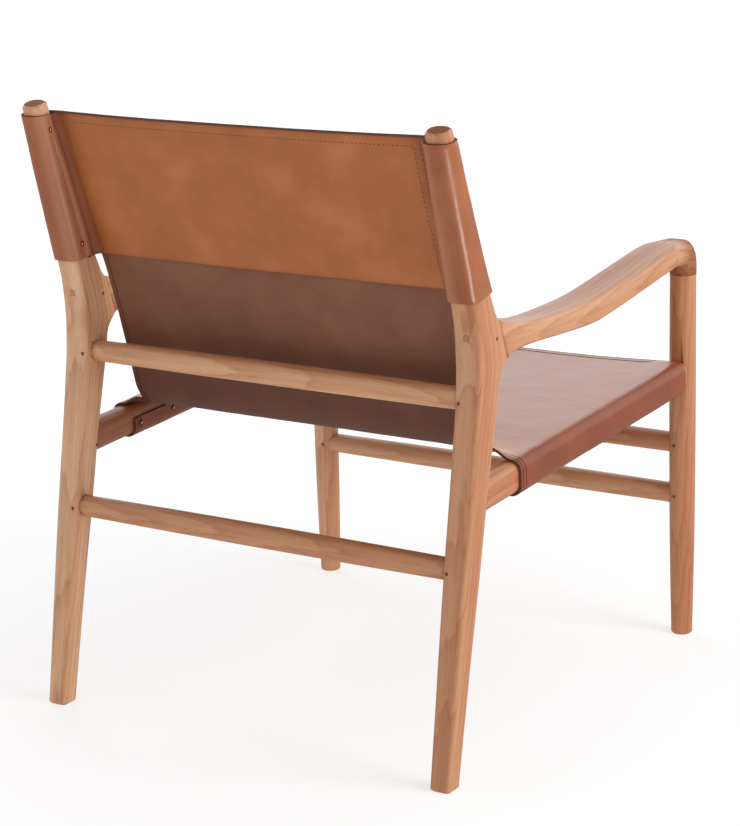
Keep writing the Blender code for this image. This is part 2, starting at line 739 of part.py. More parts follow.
def make_pegs(word, side):
    """Cross pegs that lock the joints of one side frame."""
    for name, height in (("upper", REAR_UPPER_HEIGHT), ("lower", REAR_LOWER_HEIGHT)):
        centre = (side * post_peg_x(height), 0.0, height)
        deep = post_rear(height) - POST_PEG_LENGTH
        rings = [
            pin_ring("y", centre, PEG_RADIUS, PEG_SIDES, level(deep)),
            pin_ring("y", centre, PEG_RADIUS, PEG_SIDES, lambda x, up: post_rear(up) + PEG_PROUD),
        ]
        loft(f"rear_{name}_peg_{word}", rings, dark_wood, (centre[0], post_rear(height), height))
    for name, height in (("upper", FRONT_UPPER_HEIGHT), ("lower", FRONT_LOWER_HEIGHT)):
        centre = (side * leg_peg_x(height), 0.0, height)
        rear = leg_rear_y(height)
        rings = [
            pin_ring("y", centre, PEG_RADIUS, PEG_SIDES, level(rear - LEG_PEG_LENGTH)),
            pin_ring("y", centre, PEG_RADIUS, PEG_SIDES, lambda x, up: leg_surface_y(x, up) + PEG_PROUD),
        ]
        loft(f"front_{name}_peg_{word}", rings, dark_wood, (centre[0], rear, height))
    x, y, height = rail_peg_place()
    centre = (0.0, y, height)
    rings = [
        pin_ring("x", centre, PEG_RADIUS, PEG_SIDES, level(side * (x + RAIL_PEG_LENGTH))),
        pin_ring("x", centre, PEG_RADIUS, PEG_SIDES, level(side * (x - PEG_PROUD))),
    ]
    loft(f"rail_peg_{word}", rings, dark_wood, (side * x, y, height))
    y, height = arm_peg_place()
    half = post_section(height)[2] / 2 + PEG_PROUD
    ends = [side * SIDE_X + way * half for way in (-1, 1)]
    rings = [pin_ring("x", (0.0, y, height), PEG_RADIUS, PEG_SIDES, level(end)) for end in ends]
    loft(f"arm_peg_{word}", rings, dark_wood, (side * SIDE_X, y, height))


def make_screw_and_plug(word, side):
    """Wood screw that draws the arm home, and the plug that hides its head."""
    height = screw_height()
    centre = (side * SIDE_X, 0.0, height)
    seat = screw_seat_y()
    stations = (
        (SCREW_RADIUS, JOINT_Y - SCREW_REACH), (SCREW_RADIUS, seat),
        (PLUG_RADIUS, seat), (PLUG_RADIUS, seat + SCREW_HEAD_LENGTH - FIT),
    )
    rings = [pin_ring("y", centre, radius, PEG_SIDES, level(y)) for radius, y in stations]
    loft(f"arm_screw_{word}", rings, steel, (centre[0], seat, height))
    rings = [
        pin_ring("y", centre, PLUG_RADIUS, STRETCHER_SIDES, level(seat + SCREW_HEAD_LENGTH)),
        pin_ring("y", centre, PLUG_RADIUS, STRETCHER_SIDES, lambda x, up: post_rear(up) + PEG_PROUD),
    ]
    loft(f"post_plug_{word}", rings, wood, (centre[0], seat + SCREW_HEAD_LENGTH, height))


SHEET_OFFSET = FIT + LEATHER / 2
FREE_EDGE_X = SIDE_X - POST_WIDTH / 2 - FREE_EDGE_CLEAR


def seat_line(y):
    """Height of the middle of the leather where it lies on the rails."""
    return rail_top(y) + SHEET_OFFSET


def back_line(height):
    """Y of the middle of the leather where it lies on the posts."""
    return post_front(height) - SHEET_OFFSET


def sheet_rows():
    """Rows across the leather, front to top: y, z, wrapped piece, lift, sag, bow and waist shares."""
    front = FRONT_Y + LEG_RADIUS + FRONT_EDGE_CLEAR
    corner_y = post_front(RAIL_REAR_TOP) - BEND_FORWARD
    corner = Vector((corner_y, seat_line(corner_y)))
    along_seat = (corner - Vector((front, seat_line(front)))).normalized()
    up_back = (Vector((back_line(sleeve_bottom()), sleeve_bottom())) - corner).normalized()
    turn = along_seat.angle(up_back)
    cut_back = BEND_RADIUS * math.tan(turn / 2)
    seat_end, back_start = corner - along_seat * cut_back, corner + up_back * cut_back
    square = Vector((-along_seat.y, along_seat.x))
    middle = seat_end + square * BEND_RADIUS

    rows = []
    for step in range(SEAT_STEPS):
        share = step / SEAT_STEPS
        y = front + (seat_end.x - front) * share
        sag = 1 + (SEAT_SAG_REAR_SHARE - 1) * share
        rows.append((y, seat_line(y), "rail", 0.0, sag, 0.0, 0.0))
    wrap_angles = [WRAP_TURN * step / WRAP_STEPS for step in range(WRAP_STEPS + 1)]
    rest = turn - WRAP_TURN
    bend_angles = [WRAP_TURN + rest * step / BEND_STEPS for step in range(1, BEND_STEPS)]
    for angle in wrap_angles + bend_angles:
        point = middle - Matrix.Rotation(angle, 2) @ square * BEND_RADIUS
        kind = "rail" if angle <= WRAP_TURN else None
        lift = max(point.y - seat_line(point.x), 0.0)
        sag = SEAT_SAG_REAR_SHARE * (1 - angle / turn)
        waist = max(angle - WRAP_TURN, 0.0) / (turn - WRAP_TURN)
        rows.append((point.x, point.y, kind, lift, sag, 0.0, waist))
    top, start = sleeve_top(), back_start.y
    for step in range(LOWER_BACK_STEPS):
        share = step / LOWER_BACK_STEPS
        point = back_start.lerp(Vector((back_line(sleeve_bottom()), sleeve_bottom())), share)
        bow = (point.y - start) / (top - start)
        rows.append((point.x, point.y, None, 0.0, 0.0, bow, 1 - share ** 2))
    for height in upper_heights():
        rows.append((back_line(height), height, "post", 0.0, 0.0, (height - start) / (top - start), 0.0))
    return rows


def upper_heights():
    bottom, top = sleeve_bottom(), sleeve_top()
    return [bottom + (top - bottom) * step / UPPER_BACK_STEPS for step in range(UPPER_BACK_STEPS + 1)]


def sheet_point(x, row):
    """Point of the sheet's middle part, with the seat's sag, the back's bow and the waist."""
    y, height, kind, lift, sag, bow, waist = row
    rail_inner = SIDE_X - RAIL_WIDTH / 2
    dip = SEAT_SAG * sag * (1 - abs(x / rail_inner) ** SAG_POWER)
    push = BACK_BOW * bow * max(1 - (x / FREE_EDGE_X) ** 2, 0.0)
    return (x * (1 - waist * WAIST / FREE_EDGE_X), y + push, height - dip)


def rail_wrap(y, lift):
    """Path of the leather over, round and under a rail to its flap, as (x, z)."""
    left, right = SIDE_X - RAIL_WIDTH / 2, SIDE_X + RAIL_WIDTH / 2
    top, bottom = rail_top(y), rail_bottom(y)
    edge = RAIL_EDGE
    reach = edge + SHEET_OFFSET
    over = top + SHEET_OFFSET
    return (
        [(left, over + lift), (left + edge, over + lift / 2), (right - edge, over)]
        + arc((right - edge, top - edge), reach, math.pi / 2, 0.0)
        + [(right + SHEET_OFFSET, bottom + edge)]
        + arc((right - edge, bottom + edge), reach, 0.0, -math.pi / 2)
        + [(left + edge, bottom - SHEET_OFFSET)]
        + arc((left + edge, bottom + edge), reach, -math.pi / 2, -math.pi)
        + [(left - SHEET_OFFSET, bottom + RAIL_FLAP)]
    )


def post_wrap(height):
    """Path of the leather round a post from its front to the flap, cut nearly square to the back, as (x, y, z)."""
    share = (height - sleeve_bottom()) / (sleeve_top() - sleeve_bottom())
    fall = SLEEVE_LOW_CUT + (SLEEVE_HIGH_CUT - SLEEVE_LOW_CUT) * share
    lowered = [height - fall * square_drop(y - back_line(height)) for x, y in level_wrap(height)]
    return [(*level_wrap(lower)[index], lower) for index, lower in enumerate(lowered)]


def level_wrap(height):
    """The same path as (x, y) on one level."""
    front, rear, width, edge = post_section(height)
    left, right = SIDE_X - width / 2, SIDE_X + width / 2
    reach = edge + SHEET_OFFSET
    return (
        [(left + edge, front - SHEET_OFFSET), (right - edge, front - SHEET_OFFSET)]
        + arc((right - edge, front + edge), reach, -math.pi / 2, 0.0)
        + [(right + SHEET_OFFSET, rear - edge)]
        + arc((right - edge, rear - edge), reach, 0.0, math.pi / 2)
        + [(left + edge, rear + SHEET_OFFSET)]
        + arc((left + edge, rear - edge), reach, math.pi / 2, math.pi)
        + [(left - SHEET_OFFSET, front + SLEEVE_FLAP_STOP)]
    )


def centre_columns():
    outward = [FREE_EDGE_X * share for share in SHEET_SHARES]
    return [-x for x in reversed(outward[1:])] + outward


def join_rows(shape, first, second):
    """Skins two equal rows of vertices with quads."""
    for index in range(len(first) - 1):
        shape.faces.new((first[index], first[index + 1], second[index + 1], second[index]))


def thicken(sheet, thickness):
    modifier = sheet.modifiers.new("thickness", "SOLIDIFY")
    modifier.thickness = thickness
    modifier.offset = 0.0
    modifier.use_even_offset = True


def make_sling():
    """Seat and back in one sheet, wrapped round both rails and both posts."""
    shape = bmesh.new()
    before, before_kind = None, None
    for row in sheet_rows():
        y, height, kind, lift = row[:4]
        centre = [shape.verts.new(sheet_point(x, row)) for x in centre_columns()]
        wraps = {}
        for side in (1, -1):
            if kind == "rail":
                path = [(side * x, y, z) for x, z in rail_wrap(y, lift)]
            elif kind == "post":
                path = [(side * x, at, z) for x, at, z in post_wrap(height)]
            else:
                path = []
            edge_vert = centre[-1] if side == 1 else centre[0]
            wraps[side] = [edge_vert] + [shape.verts.new(point) for point in path]
        if before:
            join_rows(shape, before["centre"], centre)
            if kind and kind == before_kind:
                join_rows(shape, before[1], wraps[1])
                join_rows(shape, before[-1], wraps[-1])
        before, before_kind = {"centre": centre, **wraps}, kind
    sling = finish(shape, "leather_sling", leather, (0.0, KNEE_Y, seat_line(FRONT_Y)))
    thicken(sling, LEATHER)

    holes = bmesh.new()
    for side in (1, -1):
        for x, y, height in stud_seats():
            start = (side * (x - OVERRUN), y, height)
            end = (side * (x + OVERRUN), y, height)
            add_bore(holes, start, end, STUD_SHANK_RADIUS + FIT)
    cut(sling, "sling_stud_holes", holes)


def make_back_panel():
    """Facing panel behind the upper back, between the sleeves."""
    shape = bmesh.new()
    start = sheet_rows()[SEAT_STEPS + WRAP_STEPS + BEND_STEPS][1]
    lean = math.atan2(
        back_line(sleeve_top()) - back_line(sleeve_bottom()), sleeve_top() - sleeve_bottom()
    )
    behind = (LEATHER / 2 + FIT + PANEL / 2) / math.cos(lean)
    before = None
    for height in upper_heights():
        bow = (height - start) / (sleeve_top() - start)
        row = (back_line(height) + behind, height, "post", 0.0, 0.0, bow, 0.0)
        side_x = post_inner_x(height) - FIT - LEATHER - PANEL_SIDE_GAP
        columns = [-side_x, *centre_columns(), side_x]
        verts = [shape.verts.new(sheet_point(x, row)) for x in columns]
        if before:
            join_rows(shape, before, verts)
        before = verts
    panel = finish(shape, "back_facing_panel", leather, (0.0, KNEE_Y, sleeve_bottom()))
    thicken(panel, PANEL)


def rail_stud_places():
    """Y and z of the studs along a rail's inner face, rear to front."""
    rows = sheet_rows()
    front, rear = rows[0][0] + RAIL_STUD_MARGIN, rows[SEAT_STEPS + WRAP_STEPS][0] - RAIL_STUD_MARGIN
    places = []
    for index in range(RAIL_STUD_COUNT):
        y = rear + (front - rear) * index / (RAIL_STUD_COUNT - 1)
        places.append((y, rail_bottom(y) + RAIL_STUD_RISE))
    return places


def stud_seats():
    """Points on the outer skin of the flaps where stud heads sit, on the left side."""
    skin = FIT + LEATHER
    on_rail = [(SIDE_X - RAIL_WIDTH / 2 - skin, y, height) for y, height in rail_stud_places()]
    on_post = [(post_inner_x(height) - skin, y, height) for y, height in sleeve_stud_places()]
    return on_rail + on_post


def make_studs(word, side):
    """Domed nails along the rail flap and the sleeve flap of one side."""
    names = [f"rail_stud_{word}_{index + 1}" for index in range(RAIL_STUD_COUNT)]
    names += [f"sleeve_stud_{word}_lower", f"sleeve_stud_{word}_upper"]
    for name, (x, y, height) in zip(names, stud_seats()):
        seat = x - FIT
        stations = [
            (STUD_SHANK_RADIUS, x + STUD_SHANK_LENGTH), (STUD_SHANK_RADIUS, seat), (STUD_RADIUS, seat),
        ]
        stations += [(STUD_RADIUS * wide, seat - STUD_HEIGHT * up) for wide, up in STUD_DOME_SHARES]
        rings = [
            pin_ring("x", (0.0, y, height), radius, PEG_SIDES, level(side * place))
            for radius, place in stations
        ]
        loft(name, rings, copper, (side * seat, y, height))


for old in list(bpy.data.objects):
    bpy.data.objects.remove(old)

chair = bpy.data.objects.new("lounge_chair", None)
bpy.context.scene.collection.objects.link(chair)

wood = make_material("teak", (0.55, 0.28, 0.13), 0.45)
dark_wood = make_material("end_grain_pegs", (0.22, 0.10, 0.05), 0.6)
leather = make_material("tan_leather", (0.36, 0.12, 0.05), 0.42)
copper = make_material("aged_copper", (0.55, 0.27, 0.18), 0.3, 1.0)
steel = make_material("zinc_steel", (0.5, 0.5, 0.5), 0.35, 1.0)

for side_word, side_sign in SIDES:
    make_post(side_word, side_sign)
    make_leg(side_word, side_sign)
    make_arm(side_word, side_sign)
    make_rail(side_word, side_sign)
    make_pegs(side_word, side_sign)
    make_screw_and_plug(side_word, side_sign)
    make_studs(side_word, side_sign)

for stretcher_name, stretcher_height in (
    ("rear_upper_stretcher", REAR_UPPER_HEIGHT), ("rear_lower_stretcher", REAR_LOWER_HEIGHT),
):
    make_stretcher(
        stretcher_name, rear_stretcher_y(stretcher_height), stretcher_height,
        lambda y, height: post_inner_x(height), post_peg_x(stretcher_height),
    )
for stretcher_name, stretcher_height in (
    ("front_upper_stretcher", FRONT_UPPER_HEIGHT), ("front_lower_stretcher", FRONT_LOWER_HEIGHT),
):
    make_stretcher(
        stretcher_name, FRONT_Y, stretcher_height, leg_inner_x, leg_peg_x(stretcher_height)
    )

make_sling()
make_back_panel()
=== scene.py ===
"""A low lounge chair of oiled teak with one tan leather sheet as seat and back, on a white studio floor.

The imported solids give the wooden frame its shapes. The leather, its facing, the sewing and the nails are
made here.
"""

import math
from collections import namedtuple

import bmesh
import bpy
from mathutils import Matrix, Vector, noise


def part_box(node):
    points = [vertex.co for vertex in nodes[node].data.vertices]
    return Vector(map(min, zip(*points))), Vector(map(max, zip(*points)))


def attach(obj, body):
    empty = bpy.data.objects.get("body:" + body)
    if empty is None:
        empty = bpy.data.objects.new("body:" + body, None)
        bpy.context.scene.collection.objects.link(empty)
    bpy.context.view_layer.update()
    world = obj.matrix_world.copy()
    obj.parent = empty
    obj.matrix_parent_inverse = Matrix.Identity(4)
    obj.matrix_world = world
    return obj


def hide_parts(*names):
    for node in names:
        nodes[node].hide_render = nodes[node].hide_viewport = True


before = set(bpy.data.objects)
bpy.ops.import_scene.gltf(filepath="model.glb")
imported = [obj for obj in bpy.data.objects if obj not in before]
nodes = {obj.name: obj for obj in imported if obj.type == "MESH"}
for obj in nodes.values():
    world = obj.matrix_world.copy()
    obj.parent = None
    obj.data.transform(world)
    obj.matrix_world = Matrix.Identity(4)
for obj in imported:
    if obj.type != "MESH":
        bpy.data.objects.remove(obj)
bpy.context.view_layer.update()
scene = bpy.context.scene
MM = 0.001


# Camera, fitted to the photograph

AZIMUTH, ELEVATION, ROLL = math.radians(213.57), math.radians(14.69), math.radians(-1.64)
DISTANCE = 3.2078
AIM_HEIGHT, SHIFT_LEFT, SHIFT_DOWN = 0.38, 0.0060, 0.0367
FOCAL_PIXELS, PICTURE_PIXELS, SENSOR_MM = 2517.4, 826, 36
NEAREST, FARTHEST = 0.05, 60


def place_camera():
    """The photograph's view: from behind the chair, on the sitter's right, a little above the arms."""
    level = math.cos(ELEVATION)
    back = Vector((math.sin(AZIMUTH) * level, -math.cos(AZIMUTH) * level, math.sin(ELEVATION)))
    right = Vector((0, 0, 1)).cross(back).normalized()
    up = back.cross(right)
    place = Vector((0, 0, AIM_HEIGHT)) + back * DISTANCE - right * SHIFT_LEFT - up * SHIFT_DOWN
    right, up = (
        math.cos(ROLL) * right + math.sin(ROLL) * up,
        math.cos(ROLL) * up - math.sin(ROLL) * right,
    )
    eye = bpy.data.objects.new("camera", bpy.data.cameras.new("camera"))
    scene.collection.objects.link(eye)
    eye.matrix_world = Matrix((
        (right.x, up.x, back.x, place.x),
        (right.y, up.y, back.y, place.y),
        (right.z, up.z, back.z, place.z),
        (0, 0, 0, 1),
    ))
    eye.data.sensor_width = SENSOR_MM
    eye.data.lens = FOCAL_PIXELS * SENSOR_MM / PICTURE_PIXELS
    eye.data.clip_start, eye.data.clip_end = NEAREST, FARTHEST
    scene.camera = eye


# Helpers for materials

def linear(hex_colour):
    """An sRGB hex colour as linear red, green, blue and alpha."""
    parts = [int(hex_colour[at:at + 2], 16) / 255 for at in (1, 3, 5)]
    return (*[part / 12.92 if part <= 0.04045 else ((part + 0.055) / 1.055) ** 2.4 for part in parts], 1.0)


def feed(tree, node, **inputs):
    """Sets sockets, named as Base_Color or numbered as _6, to a value or a link, which is (node, socket)."""
    for name, value in inputs.items():
        socket = node.inputs[int(name[1:])] if name[0] == "_" else node.inputs[name.replace("_", " ")]
        if isinstance(value, tuple) and isinstance(value[0], bpy.types.Node):
            tree.links.new(value[0].outputs[value[1]], socket)
        else:
            socket.default_value = value


def add(tree, kind, settings=None, **inputs):
    """Adds a node with its settings and its inputs."""
    node = tree.nodes.new(kind)
    for name, value in (settings or {}).items():
        setattr(node, name, value)
    feed(tree, node, **inputs)
    return node


def read(tree, name):
    """Reads an attribute that the mesh carries."""
    return add(tree, "ShaderNodeAttribute", {"attribute_name": name})


def ramp(tree, source, *stops):
    """Colours a link by stops of (place, hex colour or grey level)."""
    node = add(tree, "ShaderNodeValToRGB", Fac=source)
    elements = node.color_ramp.elements
    while len(elements) < len(stops):
        elements.new(1.0)
    for element, (place, colour) in zip(elements, stops):
        element.position = place
        element.color = linear(colour) if isinstance(colour, str) else (colour, colour, colour, 1.0)
    return (node, "Color")


def blend(tree, first, second, share, blend_type="MIX"):
    """Mixes two colours, each a value or a link."""
    node = add(tree, "ShaderNodeMix", {"data_type": "RGBA", "blend_type": blend_type},
               Factor=share, _6=first, _7=second)
    return (node, "Result")


def multiply(tree, first, second, share=1.0):
    """Darkens one colour by another."""
    return blend(tree, first, second, share, "MULTIPLY")


def choose(tree, share, first, second):
    """Mixes two numbers: the first at a share of 0, the second at 1."""
    node = add(tree, "ShaderNodeMix", {"data_type": "FLOAT"}, _0=share, _2=first, _3=second)
    return (node, "Result")


def ranged(tree, source, low, high, start=0.0, end=1.0):
    """Turns a link's range from start to end into one from low to high, and holds it there."""
    node = add(
        tree, "ShaderNodeMapRange", Value=source, From_Min=start, From_Max=end, To_Min=low, To_Max=high
    )
    return (node, "Result")


def noisy(tree, place, scale, detail, roughness=0.5):
    """Noise with features of about 1 / scale metres."""
    node = add(tree, "ShaderNodeTexNoise", Vector=place, Scale=scale, Detail=detail, Roughness=roughness)
    return node, "Fac"


def bump(tree, height, strength, depth, **inputs):
    return (add(tree, "ShaderNodeBump", Strength=strength, Distance=depth, Height=height, **inputs), "Normal")


def new_material(name):
    material = bpy.data.materials.new(name)
    material.use_nodes = True
    tree = material.node_tree
    return material, tree, tree.nodes["Principled BSDF"]


def place_on(tree):
    """The place on a piece, in metres."""
    return (add(tree, "ShaderNodeTexCoord"), "Object")


# Materials

def make_teak():
    """Teak, planed, sanded and oiled: soft brown stripes along the stock, short dark pores, a satin skin."""
    material, tree, shader = new_material("oiled_teak")
    grain = (read(tree, "grain"), "Vector")
    # The heart of the tree lies behind one face and leans away, so the rings show as pointed flames there.
    heart = add(tree, "ShaderNodeMapping", Vector=grain,
                Location=(0.005, 0.045, 0.0), Rotation=(-0.25, 0.03, 0.0), Scale=(1.0, 1.0, 0.20))
    # Growth rings about 8 mm apart.
    rings = add(
        tree, "ShaderNodeTexWave", {"wave_type": "RINGS", "rings_direction": "Z", "wave_profile": "SAW"},
        Vector=(heart, "Vector"),
        Scale=40.0, Distortion=6.5, Detail=3.0, Detail_Scale=0.8, Detail_Roughness=0.6,
    )
    ring_colour = ramp(tree, (rings, "Fac"), (0.0, "#DFBE9B"), (0.45, "#DAB590"), (0.78, "#D0A47D"),
                       (0.93, "#C29069"), (1.0, "#D8B28C"))
    # Streaks of colour 4 mm wide and 150 mm long.
    streak_place = (add(tree, "ShaderNodeMapping", Vector=grain, Scale=(1.0, 1.0, 0.03)), "Vector")
    streaks = noisy(tree, streak_place, 230.0, 3.0, 0.6)
    streak_colour = ramp(tree, streaks, (0.30, "#C2936D"), (0.52, "#DDBB99"), (0.75, "#E8C9A8"))
    striped = blend(tree, ring_colour, streak_colour, 0.42)
    # Broad change of tone along each board.
    broad = noisy(tree, streak_place, 26.0, 1.0)
    toned = multiply(tree, striped, ramp(tree, broad, (0.32, "#E3BFA5"), (0.5, "#F6E4D6"), (0.68, "#FFFFFF")))
    # Pores, 0.2 mm wide in the wood and drawn 0.9 mm wide so that they show.
    pore_place = (add(tree, "ShaderNodeMapping", Vector=grain, Scale=(1.0, 1.0, 0.07)), "Vector")
    pores = noisy(tree, pore_place, 1050.0, 1.0)
    pored = multiply(tree, toned, ramp(tree, pores, (0.30, 0.72), (0.40, 1.0)), 0.5)
    # Ends cut across the grain drink more oil and go grey brown; an arm's knuckle is darkened and dulled the
    # same way.
    end_and_knuckle = (read(tree, "end_cut_and_knuckle"), "Fac")
    ended = multiply(tree, pored, linear("#C2ABA0"), end_and_knuckle)
    # Each board has its own tone, from reddish to pale, which also holds painted shade: darker on the rails
    # under the seat and on pieces that stand in shade.
    board = (read(tree, "board_tone_and_shade"), "Fac")
    board_and_shade_colour = ramp(tree, board, (0.0, "#B98F76"), (0.25, "#DBB9A4"), (1.0, "#FFFFFF"))
    # The open pores of an end scatter what the oiled sides mirror.
    rough = ranged(tree, streaks, 0.50, 0.40, 0.3, 0.7)
    feed(tree, shader, Base_Color=multiply(tree, ended, board_and_shade_colour),
         Coat_Weight=ranged(tree, end_and_knuckle, 0.25, 0.0), Coat_Roughness=0.3,
         Roughness=choose(tree, end_and_knuckle, rough, 0.9), Normal=bump(tree, pores, 0.10, 0.4 * MM))
    return material


def make_end_grain():
    """Teak dowels cut flush: end grain drinks the oil, so it is darker and duller than the stock."""
    material, tree, shader = new_material("end_grain_dowel")
    specks = noisy(tree, place_on(tree), 1400.0, 2.0)
    feed(tree, shader, Base_Color=ramp(tree, specks, (0.3, "#4A2C1D"), (0.7, "#7A4E36")), Roughness=0.7)
    return material


def make_tan_leather(name, polish, gleam):
    """Vegetable tanned saddle leather, hair side, waxed: mottled tan, fine pores, long soft highlights."""
    material, tree, shader = new_material(name)
    place = place_on(tree)
    # Clouds of colour 30 to 60 mm across, as dye takes unevenly.
    clouds = noisy(tree, place, 17.0, 3.0, 0.55)
    cloud_colour = ramp(tree, clouds, (0.28, "#A45C2B"), (0.50, "#AF6431"), (0.72, "#BB6F3A"))
    # Grain of the skin, 0.5 mm in the hide and drawn 1.6 mm so that it shows.
    voronoi = add(tree, "ShaderNodeTexVoronoi", {"feature": "DISTANCE_TO_EDGE"}, Vector=place, Scale=620.0)
    cells = (voronoi, "Distance")
    grained = multiply(tree, cloud_colour, ramp(tree, cells, (0.0, 0.90), (0.10, 1.0)))
    # Burnished darker towards cut edges, with painted shade for the creases beside them; the attribute counts
    # 20 mm as one.
    edge = (read(tree, "edge_distance"), "Fac")
    edge_tone_and_crease_shade = ramp(tree, edge, (0.0, 0.45), (0.08, 0.86), (0.28, 0.96), (0.30, 0.26), (0.36, 0.26),
                     (0.38, 0.97), (0.75, 1.0))
    coloured = multiply(tree, grained, edge_tone_and_crease_shade)
    # A doubled hem has a second crease, drawn as painted shade.
    doubled = (read(tree, "doubled_hem"), "Fac")
    second = ramp(tree, edge, (0.63, 1.0), (0.65, 0.28), (0.71, 0.28), (0.73, 1.0))
    crease_shaded = multiply(tree, coloured, second, doubled)
    # Darker and duller round the rails and posts and over the seat: partly leather wetted and drawn, partly
    # painted shade.
    drawn_and_shaded = (read(tree, "drawn_and_shaded"), "Fac")
    darkened = multiply(tree, crease_shaded, linear("#BC9A76"), drawn_and_shaded)
    # Painted sheen on the flaps: paled towards a pinkish tan, with less wax there.
    flap_sheen_dull_wax = (read(tree, "flap_sheen_dull_wax"), "Fac")
    paled = blend(tree, darkened, linear("#B47D60"), ranged(tree, flap_sheen_dull_wax, 0.0, 0.5))
    # The creases are matt, so they show dark in the polish too.
    groove = multiply(tree, edge_tone_and_crease_shade, blend(tree, (1.0, 1.0, 1.0, 1.0), second, doubled))
    wax = ranged(tree, groove, 0.0, polish, 0.4)
    for dulled in (ranged(tree, drawn_and_shaded, 1.0, 0.4, 0.5), ranged(tree, flap_sheen_dull_wax, 1.0, 0.2)):
        wax = (add(tree, "ShaderNodeMath", {"operation": "MULTIPLY"}, _0=wax, _1=dulled), "Value")
    rough = ranged(tree, clouds, 0.38, 0.46, 0.3, 0.7)
    # Soft ripples under the grain, which the wax follows.
    soft = bump(tree, noisy(tree, place, 36.0, 2.0), 0.8, 0.8 * MM)
    feed(tree, shader, Base_Color=paled, Specular_IOR_Level=gleam, Coat_Weight=wax, Coat_Roughness=0.30,
         Roughness=choose(tree, ranged(tree, groove, 1.0, 0.0, 0.4), rough, 1.0),
         Normal=bump(tree, cells, 0.22, 0.15 * MM, Normal=soft), Coat_Normal=soft)
    return material


def make_flesh_side():
    """The same hide's flesh side, dyed dark and slicked: matt brown with a short nap."""
    material, tree, shader = new_material("slicked_flesh_side")
    place = place_on(tree)
    clouds = noisy(tree, place, 11.0, 4.0, 0.6)
    cloud_colour = ramp(tree, clouds, (0.3, "#75442B"), (0.5, "#7F4C33"), (0.7, "#89563C"))
    nap = noisy(tree, place, 900.0, 2.0)
    napped = multiply(tree, cloud_colour, ramp(tree, nap, (0.3, 0.88), (0.7, 1.0)))
    # Painted shade: darker low down, towards where the hide bends into the seat.
    height = (add(tree, "ShaderNodeSeparateXYZ", Vector=place), "Z")
    low_shaded = multiply(tree, napped, linear("#C9BDB6"), ranged(tree, height, 0.0, 1.0, 0.50, 0.40))
    # Burnished darker at the cut edges, with painted shade for the creases beside them.
    edge = (read(tree, "edge_distance"), "Fac")
    edge_tone_and_crease_shade = ramp(tree, edge, (0.0, 0.50), (0.07, 0.88), (0.28, 0.94), (0.31, 0.35), (0.36, 0.35),
                     (0.39, 0.95), (0.60, 1.0))
    feed(tree, shader, Base_Color=multiply(tree, low_shaded, edge_tone_and_crease_shade), Roughness=0.62,
         Normal=bump(tree, nap, 0.25, 0.2 * MM))
    return material


def make_cut_edge():
    """Cut edge of the hide, dyed and burnished: darker than the face, with layered fibres."""
    material, tree, shader = new_material("burnished_cut_edge")
    fibres = noisy(tree, place_on(tree), 700.0, 2.0)
    feed(tree, shader, Base_Color=ramp(tree, fibres, (0.3, "#4A2B1D"), (0.7, "#744834")),
         Roughness=0.8, Specular_IOR_Level=0.2)
    return material


def make_thread():
    """Waxed linen thread, dark brown, twisted: fine slanting ridges."""
    material, tree, shader = new_material("waxed_linen_thread")
    diagonal = {"bands_direction": "DIAGONAL"}
    twist = add(tree, "ShaderNodeTexWave", diagonal, Vector=place_on(tree), Scale=300.0)
    colour = ramp(tree, (twist, "Fac"), (0.0, "#663922"), (1.0, "#8C5433"))
    feed(tree, shader, Base_Color=colour, Roughness=0.6)
    return material


def make_copper(name, dark, light, roughness):
    """Copper plated nail heads: bright where rubbed, brown in the shelter of the rim."""
    material, tree, shader = new_material(name)
    tarnish = noisy(tree, place_on(tree), 800.0, 2.0)
    feed(tree, shader, Base_Color=ramp(tree, tarnish, (0.35, dark), (0.65, light)),
         Metallic=1.0, Roughness=roughness)
    return material


def make_steel():
    """Zinc plated steel: cool grey, faintly spangled."""
    material, tree, shader = new_material("zinc_plated_steel")
    spangle = add(tree, "ShaderNodeTexVoronoi", Vector=place_on(tree), Scale=900.0)
    feed(tree, shader, Base_Color=ramp(tree, (spangle, "Distance"), (0.0, "#9A9DA0"), (1.0, "#B9BCBF")),
         Metallic=1.0, Roughness=0.35)
    return material


# Lines of the frame, as the solids have them

SIDE_X = 0.2855
KNEE_Y, KNEE_HEIGHT, CHAIR_HEIGHT = 0.21532, 0.490, 0.7645
FOOT_SETBACK, TOP_SETBACK = 0.093, 0.0775
RAIL_HALF, RAIL_DEPTH, RAIL_EDGE = 0.0145, 0.0383, 0.011
RAIL_REAR, RAIL_FRONT = (0.22543, 0.3495), (-0.28577, 0.378)
JOINT_Y, ARM_RUN = 0.18832, 0.47036


def spread(start, end, count):
    """Even steps from start to end, both ends included."""
    return [start + (end - start) * step / (count - 1) for step in range(count)]


def crossing(name, place, square):
    """Points where a plane, square to a direction, cuts the surface of a solid."""
    shape = bmesh.new()
    shape.from_mesh(nodes[name].data)
    cut = bmesh.ops.bisect_plane(
        shape, geom=[*shape.verts, *shape.edges, *shape.faces], plane_co=place, plane_no=square
    )
    points = [item.co.copy() for item in cut["geom_cut"] if isinstance(item, bmesh.types.BMVert)]
    shape.free()
    return points


def measure_post(height):
    """Height, front, rear, half width and edge radius of a post."""
    points = crossing("rear_post_left", (0, 0, height), (0, 0, 1))
    front, rear = min(point.y for point in points), max(point.y for point in points)
    outside = max(point.x for point in points)
    flat = [point.y for point in points if point.x > outside - 0.05 * MM]
    return (height, front, rear, outside - SIDE_X, rear - max(flat))


def measure_arm(share):
    """Share of the arm's run, and the height of the arm's middle there."""
    heights = [point.z for point in crossing("arm_left", (0, JOINT_Y - ARM_RUN * share, 0), (0, 1, 0))]
    return (share, (min(heights) + max(heights)) / 2)


